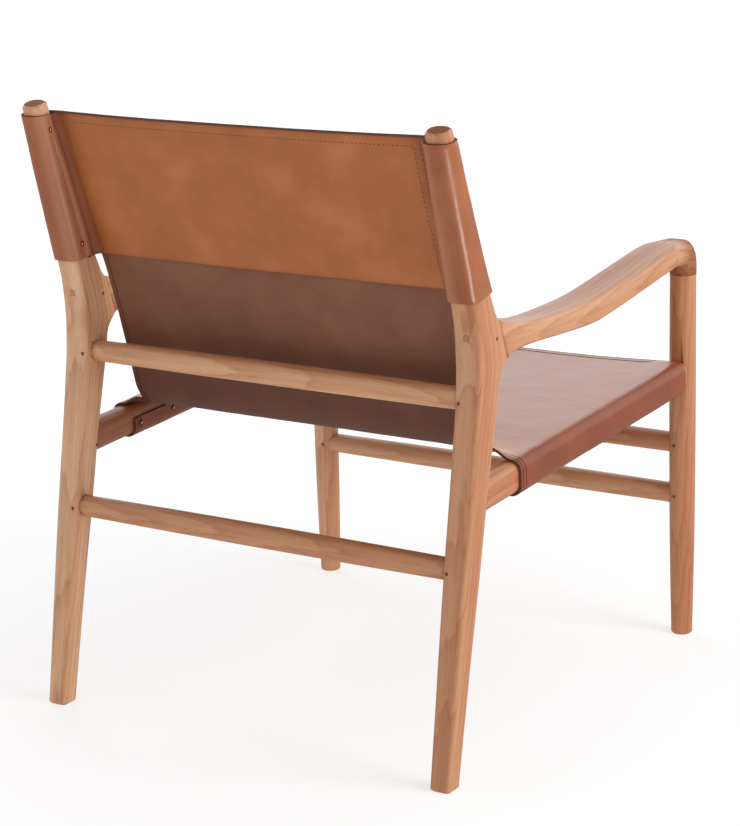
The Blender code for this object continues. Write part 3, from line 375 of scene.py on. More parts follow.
# The post is measured where the sleeve holds it, up to the rounding of its top.
POST_ROWS = [measure_post(height) for height in (*spread(0.56, 0.74, 10), 0.755)]
ARM_ROWS = [measure_arm(share) for share in (0.05, *spread(0.1, 1.0, 10))]


def row_at(rows, place):
    """Values of a table of rows at a place between two of them."""
    place = min(max(place, rows[0][0]), rows[-1][0])
    index = max(at for at in range(len(rows) - 1) if rows[at][0] <= place)
    before, after = rows[index], rows[index + 1]
    share = (place - before[0]) / (after[0] - before[0])
    return [first + (second - first) * share for first, second in zip(before[1:], after[1:])]


def post_front(height):
    return row_at(POST_ROWS, height)[0]


def post_middle(height):
    """Y of a post's middle line at a height."""
    if height < KNEE_HEIGHT:
        return KNEE_Y + FOOT_SETBACK * (1 - height / KNEE_HEIGHT)
    return KNEE_Y + TOP_SETBACK * (height - KNEE_HEIGHT) / (CHAIR_HEIGHT - KNEE_HEIGHT)


def rail_top(y):
    share = (RAIL_REAR[0] - y) / (RAIL_REAR[0] - RAIL_FRONT[0])
    return RAIL_REAR[1] + (RAIL_FRONT[1] - RAIL_REAR[1]) * share


def square_drop(depth):
    """How far a line square to the leaning post falls over a depth."""
    lean = TOP_SETBACK / (CHAIR_HEIGHT - KNEE_HEIGHT)
    return depth * lean / (1 + lean ** 2)


def smooth(share):
    share = min(max(share, 0.0), 1.0)
    return share * share * (3 - 2 * share)


# Helpers for pieces

def new_piece(name, mesh):
    piece = bpy.data.objects.new(name, mesh)
    scene.collection.objects.link(piece)
    return piece


def pick(piece):
    """Makes a piece the only one selected, and the active one."""
    bpy.ops.object.select_all(action="DESELECT")
    piece.select_set(True)
    bpy.context.view_layer.objects.active = piece


# Wooden frame

# Tone of each board, which also holds painted shade: the rails under the seat and other shaded pieces are set
# darker.
BOARD_TONES_AND_SHADE = {
    "rear_post_left": 0.93, "rear_post_right": 0.50, "front_leg_left": 0.85, "front_leg_right": 0.33,
    "arm_left": 0.70, "arm_right": 0.38, "rear_upper_stretcher": 1.0, "rear_lower_stretcher": 0.55,
    "side_rail_left": 0.0, "side_rail_right": 0.35, "front_upper_stretcher": 0.35,
    "front_lower_stretcher": 0.62, "post_plug_left": 0.65, "post_plug_right": 0.25,
}
LOG_STEP, LOG_PIECES = 0.17, 5
# An arm is darkened and dulled towards its knuckle like a cut end.
KNUCKLE_FROM, KNUCKLE_FADE, KNUCKLE_DARK_SHARE = -0.250, 0.05, 0.95


def grain_place(name, at, middle):
    """A point of a wooden piece measured from its middle: across, towards the heart, and along the grain."""
    across, deep, high = at - middle
    if "stretcher" in name:
        return (high, deep, at.x)
    if "rail" in name:
        return (across, at.z - rail_top(at.y), at.y)
    if "arm" in name:
        share = (JOINT_Y - at.y) / ARM_RUN
        return (at.z - row_at(ARM_ROWS, share)[0], across, at.y)
    if "rear_post" in name:
        return (across, at.y - post_middle(at.z), at.z)
    if "plug" in name:
        return (across, deep, 1.7 * at.z)
    return (across, deep, at.z)


def end_share(name, face, y):
    """How much a face is darkened and dulled as a cut end: wholly on the ends of uprights, and on an arm more
    towards its knuckle.
    """
    if name.startswith(("rear_post", "front_leg")):
        return 1.0 if abs(face.normal.z) > 0.75 else 0.0
    if name.startswith("arm"):
        return KNUCKLE_DARK_SHARE * smooth((KNUCKLE_FROM - y) / KNUCKLE_FADE)
    return 0.0


def oiled_piece(name, index, teak):
    """A planed and smoothed copy of a wooden solid that carries its own grain lines."""
    mesh = nodes[name].data.copy()
    mesh.name = f"oiled_{name}"
    piece = new_piece(f"oiled_{name}", mesh)
    pick(piece)
    bpy.ops.object.mode_set(mode="EDIT")
    bpy.ops.mesh.select_all(action="SELECT")
    bpy.ops.mesh.remove_doubles(threshold=0.01 * MM)
    bpy.ops.object.mode_set(mode="OBJECT")
    bpy.ops.object.shade_smooth_by_angle(angle=math.radians(34))
    weights = piece.modifiers.new("even_normals", "WEIGHTED_NORMAL")
    weights.keep_sharp = True
    bpy.ops.object.modifier_apply(modifier=weights.name)
    # Neighbouring pieces come from different lengths of the log.
    shift = Vector((0, 0, LOG_STEP * (index % LOG_PIECES)))
    low, high = (Vector(corner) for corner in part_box(name))
    grain = mesh.attributes.new("grain", "FLOAT_VECTOR", "POINT")
    for vert in mesh.vertices:
        grain.data[vert.index].vector = Vector(grain_place(name, vert.co, (low + high) / 2)) + shift
    end_cut_and_knuckle = mesh.attributes.new("end_cut_and_knuckle", "FLOAT", "CORNER")
    board_tone_and_shade = mesh.attributes.new("board_tone_and_shade", "FLOAT", "FACE")
    for face in mesh.polygons:
        for corner in face.loop_indices:
            at = mesh.vertices[mesh.loops[corner].vertex_index].co
            end_cut_and_knuckle.data[corner].value = end_share(name, face, at.y)
        board_tone_and_shade.data[face.index].value = BOARD_TONES_AND_SHADE[name]
    mesh.materials.clear()
    mesh.materials.append(teak)
    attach(piece, "root")
    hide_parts(name)


# Leather sheet

GAP, LEATHER = 0.0003, 0.003
LAY = GAP + LEATHER / 2
FRONT_EDGE_Y, HALF_WIDTH = -0.2771, 0.2592
BEND_RADIUS = 0.055
BEND_START, BEND_END = Vector((0.1191, 0.3572)), Vector((0.1760, 0.4008))
SLEEVE_BOTTOM, SLEEVE_TOP, SLEEVE_HALF = 0.5708, 0.7510, 0.2610
SLEEVE_BULGE = 0.0007
WRAP_TURN = math.radians(38)
RAIL_FLAP = 0.023
FLAP_REACH, FLAP_CURVE = 0.0142, 0.0055
FLAP_LIFT, FLAP_LOOSE, FLAP_RISE = 0.0024, 0.010, 0.007
HEM_REACH, FRONT_HEM_SHARE = 0.020, 0.55
SEAT_SAG, SEAT_SAG_REAR = 0.005, -0.002
BACK_BOW = 0.008
TOP_DIP, TOP_DIP_FROM = 0.0013, 0.4
LIFT_FROM, LIFT_TO = 0.262, 0.290
LOW_CUT, HIGH_CUT = 0.8, 0.5
# Half width of the sheet's middle part: along the bend by its angle in degrees, then up the back by height.
BEND_EDGE_ROWS = (
    (0.0, HALF_WIDTH), (18.0, 0.2580), (30.0, 0.2552), (38.0, 0.2515), (46.0, 0.2484), (56.0, 0.2466),
    (82.0, 0.2462),
)
BACK_EDGE_ROWS = (
    (0.4008, 0.2462), (0.4300, 0.2473), (0.4575, 0.2490), (0.4900, 0.2512), (0.5141, 0.2533),
    (0.5400, 0.2558), (0.5600, 0.2585), (SLEEVE_BOTTOM, SLEEVE_HALF),
)
SEAT_ROWS, WRAP_ROWS, BEND_ROWS, LOWER_ROWS, UPPER_ROWS = 44, 12, 12, 26, 30
HALF_COLUMNS = 26

# A row of the sheet: its place, what it wraps, its lift off the rail, its sag, its bow, the half width of its
# middle part and its run along the flat hide.
Row = namedtuple("Row", "y z kind lift sag bow half run", defaults=(0.0,))


def bow_share(height):
    """How far up the back a height is, and so how much it bows."""
    return (height - BEND_END.y) / (SLEEVE_TOP - BEND_END.y)


def sheet_rows():
    """Rows of the sheet from its front edge to its top."""
    bottom = Vector((post_front(SLEEVE_BOTTOM) - LAY, SLEEVE_BOTTOM))
    along = (BEND_START - Vector((FRONT_EDGE_Y, rail_top(FRONT_EDGE_Y) + LAY))).normalized()
    turn = along.angle((bottom - BEND_END).normalized())
    square = Vector((-along.y, along.x))
    middle = BEND_START + square * BEND_RADIUS
    rows = []
    for y in spread(FRONT_EDGE_Y, BEND_START.x, SEAT_ROWS)[:-1]:
        share = (y - FRONT_EDGE_Y) / (BEND_START.x - FRONT_EDGE_Y)
        sag = SEAT_SAG + (SEAT_SAG_REAR - SEAT_SAG) * share
        rows.append(Row(y, rail_top(y) + LAY, "rail", 0.0, sag, 0.0, HALF_WIDTH))
    angles = spread(0.0, WRAP_TURN, WRAP_ROWS) + spread(WRAP_TURN, turn, BEND_ROWS)[1:-1]
    for index, angle in enumerate(angles):
        point = middle - Matrix.Rotation(angle, 2) @ square * BEND_RADIUS
        lift = max(point.y - rail_top(point.x) - LAY, 0.0)
        kind = "rail" if index < WRAP_ROWS else None
        half = row_at(BEND_EDGE_ROWS, math.degrees(angle))[0]
        rows.append(Row(point.x, point.y, kind, lift, SEAT_SAG_REAR * (1 - angle / turn), 0.0, half))
    for share in spread(0.0, 1.0, LOWER_ROWS)[:-1]:
        point = BEND_END.lerp(bottom, share)
        half = row_at(BACK_EDGE_ROWS, point.y)[0]
        rows.append(Row(point.x, point.y, None, 0.0, 0.0, bow_share(point.y), half))
    for height in spread(SLEEVE_BOTTOM, SLEEVE_TOP, UPPER_ROWS):
        rows.append(Row(post_front(height) - LAY, height, "post", 0.0, 0.0, bow_share(height), SLEEVE_HALF))
    run, measured = 0.0, []
    for before, row in zip([rows[0], *rows], rows):
        run += math.dist(before[:2], row[:2])
        measured.append(row._replace(run=run))
    return measured


def seat_point(x, row):
    """Point over the seat or the bend: the sag between the rails and the lift off each rail."""
    loose = row.lift * (1 - smooth((abs(x) - LIFT_FROM) / (LIFT_TO - LIFT_FROM)))
    dip = row.sag * max(1 - (abs(x) / (SIDE_X - RAIL_HALF)) ** 4, 0.0)
    return Vector((x, row.y, row.z - row.lift + loose - dip))


def back_point(x, row):
    """Point of the back: it bows to the rear, and the top edge dips a little."""
    push = BACK_BOW * row.bow * max(1 - (x / HALF_WIDTH) ** 2, 0.0)
    high = max(row.bow - TOP_DIP_FROM, 0.0) / (1 - TOP_DIP_FROM)
    dip = TOP_DIP * high * max(1 - (abs(x) / HALF_WIDTH) ** 4, 0.0)
    return Vector((x, row.y + push, row.z - dip))


def arc(middle, radius, start, end, count):
    """Points after the start of a round stretch between two angles in degrees, as 2D points."""
    turns = spread(math.radians(start), math.radians(end), count + 1)[1:]
    return [(middle[0] + radius * math.cos(turn), middle[1] + radius * math.sin(turn)) for turn in turns]


def line(start, end, count):
    """Points after the start of a straight run, as 2D points."""
    (x, y), (far_x, far_y) = start, end
    return [(x + (far_x - x) * share, y + (far_y - y) * share) for share in spread(0.0, 1.0, count + 1)[1:]]


def rail_wrap(row):
    """The leather over, round and under a rail to its flap, on the sitter's left."""
    left, right = SIDE_X - RAIL_HALF, SIDE_X + RAIL_HALF
    top = rail_top(row.y)
    bottom = top - RAIL_DEPTH
    reach = RAIL_EDGE + LAY
    over = [seat_point(x, row) for x in spread(row.half, right - RAIL_EDGE, 13)[1:]]
    path = arc((right - RAIL_EDGE, top - RAIL_EDGE), reach, 90, 0, 8)
    path += line(path[-1], (right + LAY, bottom + RAIL_EDGE), 5)
    path += arc((right - RAIL_EDGE, bottom + RAIL_EDGE), reach, 0, -90, 8)
    path += line(path[-1], (left + RAIL_EDGE, bottom - LAY), 3)
    path += arc((left + RAIL_EDGE, bottom + RAIL_EDGE), reach, -90, -180, 8)
    path += line(path[-1], (left - LAY, bottom + RAIL_FLAP), 5)
    return over + [Vector((x, row.y, z)) for x, z in path]


def flap_edge(height):
    """Y of the flap's edge on a post's inner face, which bows to the front in the middle."""
    share = (height - SLEEVE_BOTTOM) / (SLEEVE_TOP - SLEEVE_BOTTOM)
    return post_front(height) + FLAP_REACH - FLAP_CURVE * (1 - (2 * share - 1) ** 2)


def sleeve_path(height, half):
    """The leather round a post on one level: it stands off the flats a little and rounds the corners."""
    front, rear, width, edge = row_at(POST_ROWS, height)
    left, right = SIDE_X - width - LAY, SIDE_X + width + LAY
    low, high = front - LAY, rear + LAY
    corner = edge + LAY
    reach = corner + 3.0 * SLEEVE_BULGE
    far, behind, near = right + SLEEVE_BULGE, high + SLEEVE_BULGE, left - SLEEVE_BULGE
    path = line((half, low), (right - corner, low), 12)
    path += arc((right - corner, low + corner), corner, -90, 0, 8)
    path += line(path[-1], (far, high - reach), 4)
    path += arc((far - reach, behind - reach), reach, 0, 90, 12)
    path += line(path[-1], (near + reach, behind), 2)
    path += arc((near + reach, behind - reach), reach, 90, 180, 12)
    # Near its edge the flap stands off the post, over the facing's wing.
    flap = flap_edge(height)
    for x, y in line(path[-1], (left, flap), 14):
        path.append((x - FLAP_LIFT * smooth((flap + FLAP_LOOSE - y) / FLAP_RISE), y))
    return path


def post_wrap(row):
    """The leather round a post, cut nearly square to it, from the back's edge to the flap."""
    share = (row.z - SLEEVE_BOTTOM) / (SLEEVE_TOP - SLEEVE_BOTTOM)
    fall = LOW_CUT + (HIGH_CUT - LOW_CUT) * share
    points = []
    for index, (x, y) in enumerate(sleeve_path(row.z, row.half)):
        z = row.z - fall * square_drop(y - row.y)
        points.append(Vector((*sleeve_path(z, row.half)[index], z)))
    return points


def sheet_line(row):
    """A row from flap to flap: its points, their places across the flat hide, and the count of a wrap."""
    over = seat_point if row.bow == 0.0 else back_point
    middle = [over(x, row) for x in spread(-row.half, row.half, 2 * HALF_COLUMNS + 1)]
    wrap = rail_wrap(row) if row.kind == "rail" else post_wrap(row) if row.kind == "post" else []
    reach, far = [], row.half
    for before, point in zip([middle[-1], *wrap], wrap):
        far += (point - before).length
        reach.append(far)
    mirrored = [Vector((-point.x, point.y, point.z)) for point in reversed(wrap)]
    across = [-far for far in reversed(reach)] + [point.x for point in middle] + reach
    return mirrored + middle + wrap, across, len(wrap)


def edge_gap(across, along, corner, rows):
    """Distance in the flat hide to the cut edge that runs round the rear of the wrap and up the back."""
    gap = abs(along - corner[1]) if across >= corner[0] else math.dist((across, along), corner)
    for before, after in zip(rows, rows[1:]):
        start, end = Vector(before), Vector(after)
        step = end - start
        share = min(max((Vector((across, along)) - start).dot(step) / step.length_squared, 0.0), 1.0)
        gap = min(gap, (Vector((across, along)) - start - step * share).length)
    return gap


def drawn_and_shaded_share(row, across, y):
    """How much darker the leather is here, partly from being drawn and partly painted shade: round rails and
    posts, and over the front of the seat.
    """
    if row.kind == "rail":
        return max(smooth((abs(across) - 0.282) / 0.016), 0.5 * smooth((0.12 - y) / 0.05))
    return 0.42 * smooth((abs(across) - 0.262) / 0.01) if row.kind == "post" else 0.0


def ripple(point):
    """Slight unevenness of a hide that has been sat in."""
    return 0.30 * MM * noise.noise(point * 42.0) + 0.45 * MM * noise.noise(point * 14.0)


def face_way(shape, vert, way):
    """Turns a surface over if a vertex's normal points away from a direction."""
    shape.normal_update()
    if vert.normal.dot(way) < 0:
        bmesh.ops.reverse_faces(shape, faces=shape.faces)
        shape.normal_update()


def add_strip(shape, before, after):
    """Faces between two rows of vertices."""
    for index in range(len(before) - 1):
        shape.faces.new((before[index], before[index + 1], after[index + 1], after[index]))


def build_sheet(tan, flesh, cut):
    """One hide: seat, bend and back, wrapped round both rails and both posts."""
    rows = sheet_rows()
    last_wrap = max(index for index, row in enumerate(rows) if row.kind == "rail")
    corner = (rows[last_wrap].half, rows[last_wrap].run)
    free_edge = [(row.half, row.run) for row in rows[last_wrap:] if row.kind != "post"]
    shape = bmesh.new()
    gap_layer, doubled_layer, drawn_and_shaded_layer, flap_sheen_dull_wax_layer = (
        shape.verts.layers.float.new(name) for name in ("edge_distance", "doubled_hem", "drawn_and_shaded", "flap_sheen_dull_wax")
    )
    lines = []
    for row in rows:
        points, places, side = sheet_line(row)
        verts = [shape.verts.new(point) for point in points]
        for vert, across in zip(verts, places):
            # The front hem is nearly twice as wide, and has no painted crease shade where it goes round the
            # rail.
            front = FRONT_HEM_SHARE * row.run + HEM_REACH * smooth((abs(across) - 0.25) / 0.03)
            gap = min(edge_gap(abs(across), row.run, corner, free_edge), front)
            vert[gap_layer] = min(gap / HEM_REACH, 1.0)
            vert[doubled_layer] = 1.0 if 0.1 < row.run <= corner[1] else 0.0
            vert[drawn_and_shaded_layer] = drawn_and_shaded_share(row, across, vert.co.y)
            # Painted sheen on the post flaps, fading out at the post's corner.
            if row.kind == "post" and abs(across) > 0.32:
                vert[flap_sheen_dull_wax_layer] = smooth((SIDE_X - 0.003 - abs(vert.co.x)) / 0.008)
        lines.append((row.kind, verts, side))
    for (kind, before, side), (next_kind, after, next_side) in zip(lines, lines[1:]):
        if kind is None or kind != next_kind:
            before, after = before[side:len(before) - side], after[next_side:len(after) - next_side]
        add_strip(shape, before, after)
    seat_line = lines[10][1]
    face_way(shape, seat_line[len(seat_line) // 2], Vector((0, 0, 1)))
    for vert in shape.verts:
        vert.co += vert.normal * max(ripple(vert.co), -0.2 * MM)
    return leather_object("hide_seat_and_back", shape, LEATHER, (tan, flesh, cut))


def leather_object(name, shape, thickness, finishes):
    """Turns a surface into leather of a thickness, with a finish each for hair, flesh and cut edge."""
    mesh = bpy.data.meshes.new(name)
    shape.to_mesh(mesh)
    shape.free()
    for finish in finishes:
        mesh.materials.append(finish)
    piece = new_piece(name, mesh)
    pick(piece)
    body = piece.modifiers.new("thickness", "SOLIDIFY")
    body.thickness, body.offset, body.use_even_offset = thickness, 0.0, True
    body.material_offset, body.material_offset_rim = 1, 2
    bpy.ops.object.modifier_apply(modifier=body.name)
    rounding = piece.modifiers.new("edges", "BEVEL")
    rounding.width, rounding.segments = 0.5 * MM, 2
    rounding.limit_method, rounding.angle_limit = "ANGLE", math.radians(55)
    bpy.ops.object.modifier_apply(modifier=rounding.name)
    bpy.ops.object.shade_smooth_by_angle(angle=math.radians(40))
    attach(piece, "root")
    return piece


# Facing behind the upper back

FACING = 0.002
FACING_BOTTOM, FACING_TOP = 0.5665, 0.7503
FACING_ROWS = 30
FACING_BEHIND = 0.0030
FACING_TURN = 0.0115
FACING_HEM = 0.005
WING_REACH, WING_LEAST = 0.0018, 0.0005
FACING_SHIFT = Vector((3, 0, 0))


def back_line(height):
    """Y of the middle of the hide up the back, before its bow."""
    bottom = post_front(SLEEVE_BOTTOM) - LAY
    if height < SLEEVE_BOTTOM:
        return bottom + (BEND_END.x - bottom) * (SLEEVE_BOTTOM - height) / (SLEEVE_BOTTOM - BEND_END.y)
    return post_front(height) - LAY


def facing_line(height):
    """One level of the facing: across behind the sheet, then turned back along each post's inner face."""
    side = SIDE_X - row_at(POST_ROWS, height)[2] - GAP - FACING / 2
    base = back_line(height) + FACING_BEHIND
    row = Row(base, height, "post", 0.0, 0.0, bow_share(height), side)
    inner = side - FACING_TURN
    middle = [back_point(x, row) for x in spread(-inner, inner, 61)]
    corner = arc((inner, base + FACING_TURN), FACING_TURN, -90, 0, 10)
    end = max(flap_edge(height) + WING_REACH, base + FACING_TURN + WING_LEAST)
    corner += line(corner[-1], (side, end), 3)
    wing = [Vector((x, y, height - square_drop(y - base))) for x, y in corner]
    return [Vector((-point.x, point.y, point.z)) for point in reversed(wing)] + middle + wing


def build_facing(tan, flesh, cut):
    """The facing: a thinner panel of the same leather, its hair side to the rear."""
    shape = bmesh.new()
    gap_layer = shape.verts.layers.float.new("edge_distance")
    drawn_and_shaded_layer = shape.verts.layers.float.new("drawn_and_shaded")
    lines = []
    for height in spread(FACING_BOTTOM, FACING_TOP, FACING_ROWS):
        verts = [shape.verts.new(point) for point in facing_line(height)]
        for vert in verts:
            vert[gap_layer] = min(height - FACING_BOTTOM, FACING_TOP - height, FACING_HEM) / HEM_REACH
            # Painted shade: darker towards each wing, in the turn beside the flap's edge.
            vert[drawn_and_shaded_layer] = 0.65 * smooth((abs(vert.co.x) - 0.236) / 0.026)
        lines.append(verts)
    for before, after in zip(lines, lines[1:]):
        add_strip(shape, before, after)
    face_way(shape, lines[5][len(lines[5]) // 2], Vector((0, 1, 0)))
    for vert in shape.verts:
        vert.co += vert.normal * min(max(ripple(vert.co + FACING_SHIFT), 0.0), 0.4 * MM)
    return leather_object("facing_behind_back", shape, FACING, (tan, flesh, cut))


# Sewing

STITCH_LENGTH, STITCH_THICK, STITCH_PITCH = 4.4 * MM, 0.6 * MM, 5.8 * MM
TOP_SEAM_DROP, SECOND_SEAM_DROP, SEAM_FOOT = 11 * MM, 6 * MM, 3 * MM
RIGHT_SEAM_X, RIGHT_SECOND_SEAM_X, LEFT_SEAM_X = -0.2425, -0.2515, 0.2530


def stitch_shape(length, thick):
    """One stitch lying along X: a six sided thread whose ends dive into the leather."""
    bpy.ops.object.select_all(action="DESELECT")
    bpy.ops.mesh.primitive_cylinder_add(
        vertices=6, radius=thick / 2, depth=length * 0.55, rotation=(0, math.pi / 2, 0), location=(0, 0, 0)
    )
    thread = bpy.context.object
    bpy.ops.object.transform_apply(location=True, rotation=True, scale=True)
    for way in (-1, 1):
        bpy.ops.object.mode_set(mode="OBJECT")
        for face in thread.data.polygons:
            face.select = face.normal.x * way > 0.9
        bpy.ops.object.mode_set(mode="EDIT")
        bpy.ops.mesh.select_mode(type="FACE")
        bpy.ops.mesh.extrude_region_move(
            TRANSFORM_OT_translate={"value": (way * length * 0.2, 0, -thick * 0.75)}
        )
        tip = (way * length * 0.42, 0, -thick * 0.75)
        bpy.ops.transform.resize(value=(0.6, 0.6, 0.6), center_override=tip)
    bpy.ops.object.mode_set(mode="OBJECT")
    mesh = thread.data.copy()
    bpy.data.objects.remove(thread)
    return mesh


def sew(name, seams, pitch, template, thread):
    """Runs of stitches, each a list of (point, outward normal), joined in one piece of thread work."""
    shape = bmesh.new()
    for seam in seams:
        lengths = [0.0]
        for before, after in zip(seam, seam[1:]):
            lengths.append(lengths[-1] + (after[0] - before[0]).length)
        count = max(int(lengths[-1] / pitch), 1)
        for step in range(count):
            place = (step + 0.5) * lengths[-1] / count
            at = max(index for index in range(len(lengths) - 1) if lengths[index] <= place)
            share = (place - lengths[at]) / (lengths[at + 1] - lengths[at])
            point = seam[at][0].lerp(seam[at + 1][0], share)
            up = seam[at][1].lerp(seam[at + 1][1], share).normalized()
            along = (seam[at + 1][0] - seam[at][0]).normalized()
            side = up.cross(along).normalized()
            along = side.cross(up)
            turned = Matrix((
                (along.x, side.x, up.x, point.x), (along.y, side.y, up.y, point.y),
                (along.z, side.z, up.z, point.z), (0, 0, 0, 1),
            ))
            first = len(shape.verts)
            shape.from_mesh(template)
            shape.verts.ensure_lookup_table()
            bmesh.ops.transform(shape, matrix=turned, verts=shape.verts[first:])
    mesh = bpy.data.meshes.new(name)
    shape.to_mesh(mesh)
    shape.free()
    mesh.materials.append(thread)
    mesh.shade_smooth()
    piece = new_piece(name, mesh)
    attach(piece, "root")
    return piece


def seam_place(x, height):
    """A point on the facing's skin and its outward normal."""
    # The wings turn away beyond the seams.
    inner = [point for point in facing_line(height) if abs(point.x) < 0.2585]
    after = next(index for index, point in enumerate(inner) if point.x >= x)
    before = inner[after - 1]
    point = before.lerp(inner[after], (x - before.x) / (inner[after].x - before.x))
    lean = Vector((0, TOP_SETBACK, CHAIR_HEIGHT - KNEE_HEIGHT)).normalized()
    normal = Vector((0, lean.z, -lean.y))
    return point + normal * (FACING / 2 + 0.25 * MM), normal


def facing_seams():
    """Stitch lines of the facing: one along its top, two beside the right post and one beside the left."""
    top = FACING_TOP - TOP_SEAM_DROP
    seams = [[seam_place(x, top) for x in spread(RIGHT_SEAM_X, -RIGHT_SEAM_X, 60)]]
    for x, high in (
        (RIGHT_SEAM_X, top), (RIGHT_SECOND_SEAM_X, FACING_TOP - SECOND_SEAM_DROP), (LEFT_SEAM_X, top),
    ):
        seams.append([seam_place(x, height) for height in spread(FACING_BOTTOM + SEAM_FOOT, high, 30)])
    return seams


# Domed nails

HEAD_RADIUS, HEAD_BASE = 3.5, 1.8
# Each step of the turned head: how far it rises and its new radius, in mm.
HEAD_STEPS = ((0.35, 3.5), (0.2, 3.3), (0.05, 2.75), (0.35, 2.55), (0.45, 1.9), (0.25, 1.1), (0.08, 0.35))
DARK_BEYOND = 2.45


def nail_head(bright, dark):
    """A domed head 7 mm across that points along +X: a low skirt, a rim groove and a rubbed dome."""
    bpy.ops.object.select_all(action="DESELECT")
    bpy.ops.mesh.primitive_circle_add(
        vertices=24, radius=HEAD_RADIUS * MM, fill_type="NGON", location=(0, 0, 0)
    )
    head = bpy.context.object
    bpy.ops.object.mode_set(mode="EDIT")
    bpy.ops.mesh.select_all(action="SELECT")
    radius = HEAD_RADIUS
    for rise, wide in HEAD_STEPS:
        bpy.ops.mesh.extrude_region_move(TRANSFORM_OT_translate={"value": (0, 0, rise * MM)})
        bpy.ops.transform.resize(value=(wide / radius, wide / radius, 1), center_override=(0, 0, 0))
        radius = wide
    bpy.ops.mesh.select_all(action="SELECT")
    bpy.ops.mesh.normals_make_consistent(inside=False)
    bpy.ops.object.mode_set(mode="OBJECT")
    head.data.materials.append(bright)
    head.data.materials.append(dark)
    for face in head.data.polygons:
        face.material_index = 1 if face.center.xy.length > DARK_BEYOND * MM else 0
    head.rotation_euler = (0, math.pi / 2, 0)
    bpy.ops.object.transform_apply(location=True, rotation=True, scale=True)
    bpy.ops.object.shade_smooth_by_angle(angle=math.radians(50))
    mesh = head.data.copy()
    bpy.data.objects.remove(head)
    return mesh


def set_nails(bright, dark):
    """A nail head over every nail of the frame, seated on the flap's skin."""
    template, nails = nail_head(bright, dark), []
    for name in nodes:
        if "stud" not in name:
            continue
        low, high = (Vector(corner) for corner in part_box(name))
        faces_left = "right" in name
        seat_x = high.x - HEAD_BASE * MM if faces_left else low.x + HEAD_BASE * MM
        turn = Matrix() if faces_left else Matrix.Rotation(math.pi, 4, "Z")
        place = Matrix.Translation((seat_x, (low.y + high.y) / 2, (low.z + high.z) / 2))
        mesh = template.copy()
        mesh.transform(place @ turn)
        piece = new_piece(f"domed_{name}", mesh)
        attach(piece, "root")
        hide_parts(name)
        nails.append(piece)
    return nails


# Floor and light

STRIP_WAY = math.atan2(0.43, -0.776) + math.pi / 2


def make_floor():
    """White studio floor: it glows a little, so it is white in the open and keeps the chair's soft shadow."""
    bpy.ops.object.select_all(action="DESELECT")
    bpy.ops.mesh.primitive_plane_add(size=60, location=(0, 0, 0))
    floor = bpy.context.object
    floor.name = "floor"
    material, tree, shader = new_material("white_studio_floor")
    tree.nodes.remove(shader)
    rays = add(tree, "ShaderNodeLightPath")
    away = add(tree, "ShaderNodeVectorMath", {"operation": "LENGTH"}, _0=place_on(tree))
    glowing = ranged(tree, (away, "Value"), 1.54, 1.85, 0.45, 1.6)
    strength = choose(tree, (rays, "Is Glossy Ray"), glowing, 0.2)
    paint = add(tree, "ShaderNodeBsdfDiffuse", Color=linear("#F2F2F2"))
    glow = add(tree, "ShaderNodeEmission", Color=linear("#FFFFFF"), Strength=strength)
    mixed = add(tree, "ShaderNodeMixShader", _0=0.4, _1=(paint, "BSDF"), _2=(glow, "Emission"))
    feed(tree, tree.nodes["Material Output"], Surface=(mixed, "Shader"))
    floor.data.materials.append(material)


def add_lamp(name, place, aim, size, power):
    data = bpy.data.lights.new(name, "AREA")
    data.shape = "RECTANGLE"
    data.size, data.size_y = size
    data.energy = power
    lamp = bpy.data.objects.new(name, data)
    lamp.location = place
    lamp.rotation_euler = (Vector(aim) - Vector(place)).to_track_quat("-Z", "Y").to_euler()
    lamp.visible_camera = False
    scene.collection.objects.link(lamp)
    return lamp


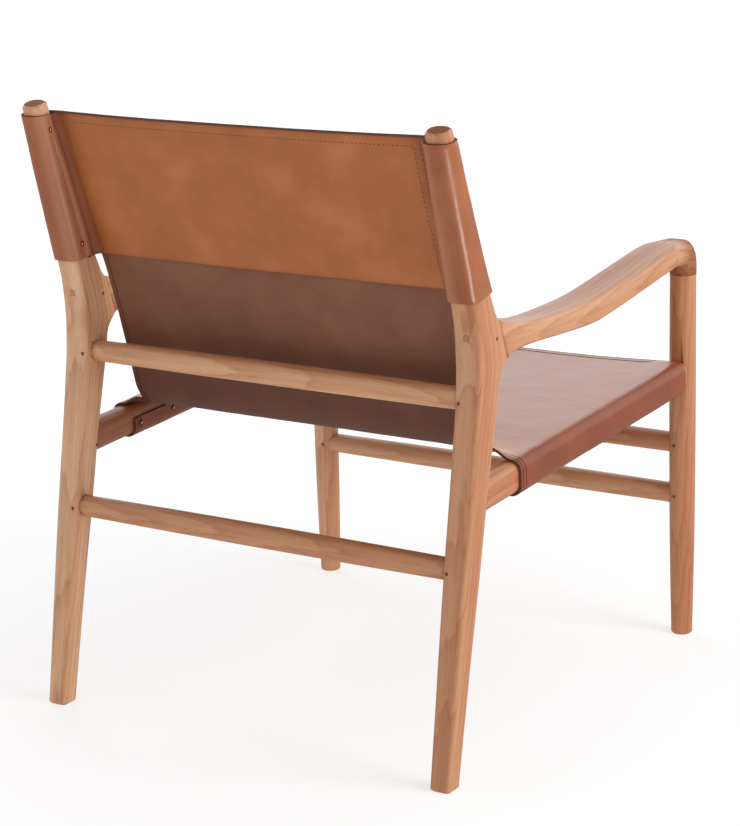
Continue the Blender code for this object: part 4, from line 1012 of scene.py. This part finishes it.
def light_studio(polished):
    """A white room, two softboxes, and a strip on the floor that lights only the polished pieces."""
    world = bpy.data.worlds.new("studio")
    scene.world = world
    world.use_nodes = True
    tree = world.node_tree
    rays = add(tree, "ShaderNodeLightPath")
    way = add(tree, "ShaderNodeSeparateXYZ", Vector=(add(tree, "ShaderNodeTexCoord"), "Generated"))
    # The white walls light the chair more than the ceiling does.
    room = ranged(tree, (way, "Z"), 0.95, 0.35)
    plain = choose(tree, (rays, "Is Camera Ray"), room, 1.0)
    # Polish mirrors a bright backdrop before the chair and a dimmer room behind the camera.
    mirrored = ranged(tree, (way, "Y"), 1.45, 0.5, -0.2, 0.3)
    strength = choose(tree, (rays, "Is Glossy Ray"), plain, mirrored)
    feed(tree, tree.nodes["Background"], Color=(1, 1, 1, 1), Strength=strength)
    # Both softboxes are hidden behind white cloth, so polish mirrors only the cloth's even glow.
    add_lamp("side_softbox", (-2.9, -0.20, 1.35), (0, 0, 0.4), (1.6, 1.6), 46).visible_glossy = False
    add_lamp("front_softbox", (1.9, -1.6, 2.2), (0, 0, 0.2), (1.2, 1.2), 7).visible_glossy = False
    # A bright strip on the floor that only polish reflects: it draws the line of light down the sleeve.
    strip = add_lamp("floor_strip", (-1.08, 0.70, 0.04), (-0.75, 0.50, 1.0), (0.36, 0.6), 8.0)
    strip.rotation_euler = (math.pi, 0, STRIP_WAY)
    strip.visible_diffuse = False
    lit = bpy.data.collections.new("strip_lights_only")
    for piece in polished:
        lit.objects.link(piece)
    strip.light_linking.receiver_collection = lit


# The chair in its studio

teak, end_grain = make_teak(), make_end_grain()
tan, flesh, cut = make_tan_leather("waxed_saddle_leather", 0.65, 0.38), make_flesh_side(), make_cut_edge()
matt_tan = make_tan_leather("brushed_saddle_leather", 0.06, 0.45)
thread, steel = make_thread(), make_steel()
bright_copper = make_copper("rubbed_copper", "#B5785E", "#E2AE96", 0.25)
brown_copper = make_copper("tarnished_copper", "#3A211A", "#5C382C", 0.5)

for index, name in enumerate(sorted(BOARD_TONES_AND_SHADE)):
    oiled_piece(name, index, teak)
finishes = {"peg": end_grain, "screw": steel, "stud": bright_copper, "sling": tan, "panel": tan}
for name, node in nodes.items():
    finish = next((finish for word, finish in finishes.items() if word in name), teak)
    for slot in node.material_slots:
        slot.material = finish

hide = build_sheet(tan, flesh, cut)
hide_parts("leather_sling")
facing = build_facing(matt_tan, flesh, cut)
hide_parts("back_facing_panel")

stitch = stitch_shape(STITCH_LENGTH, STITCH_THICK)
facing_thread = sew("facing_stitches", facing_seams(), STITCH_PITCH, stitch, thread)
nails = set_nails(bright_copper, brown_copper)

make_floor()
light_studio([hide, *nails])
place_camera()
scene.view_settings.view_transform = "Standard"
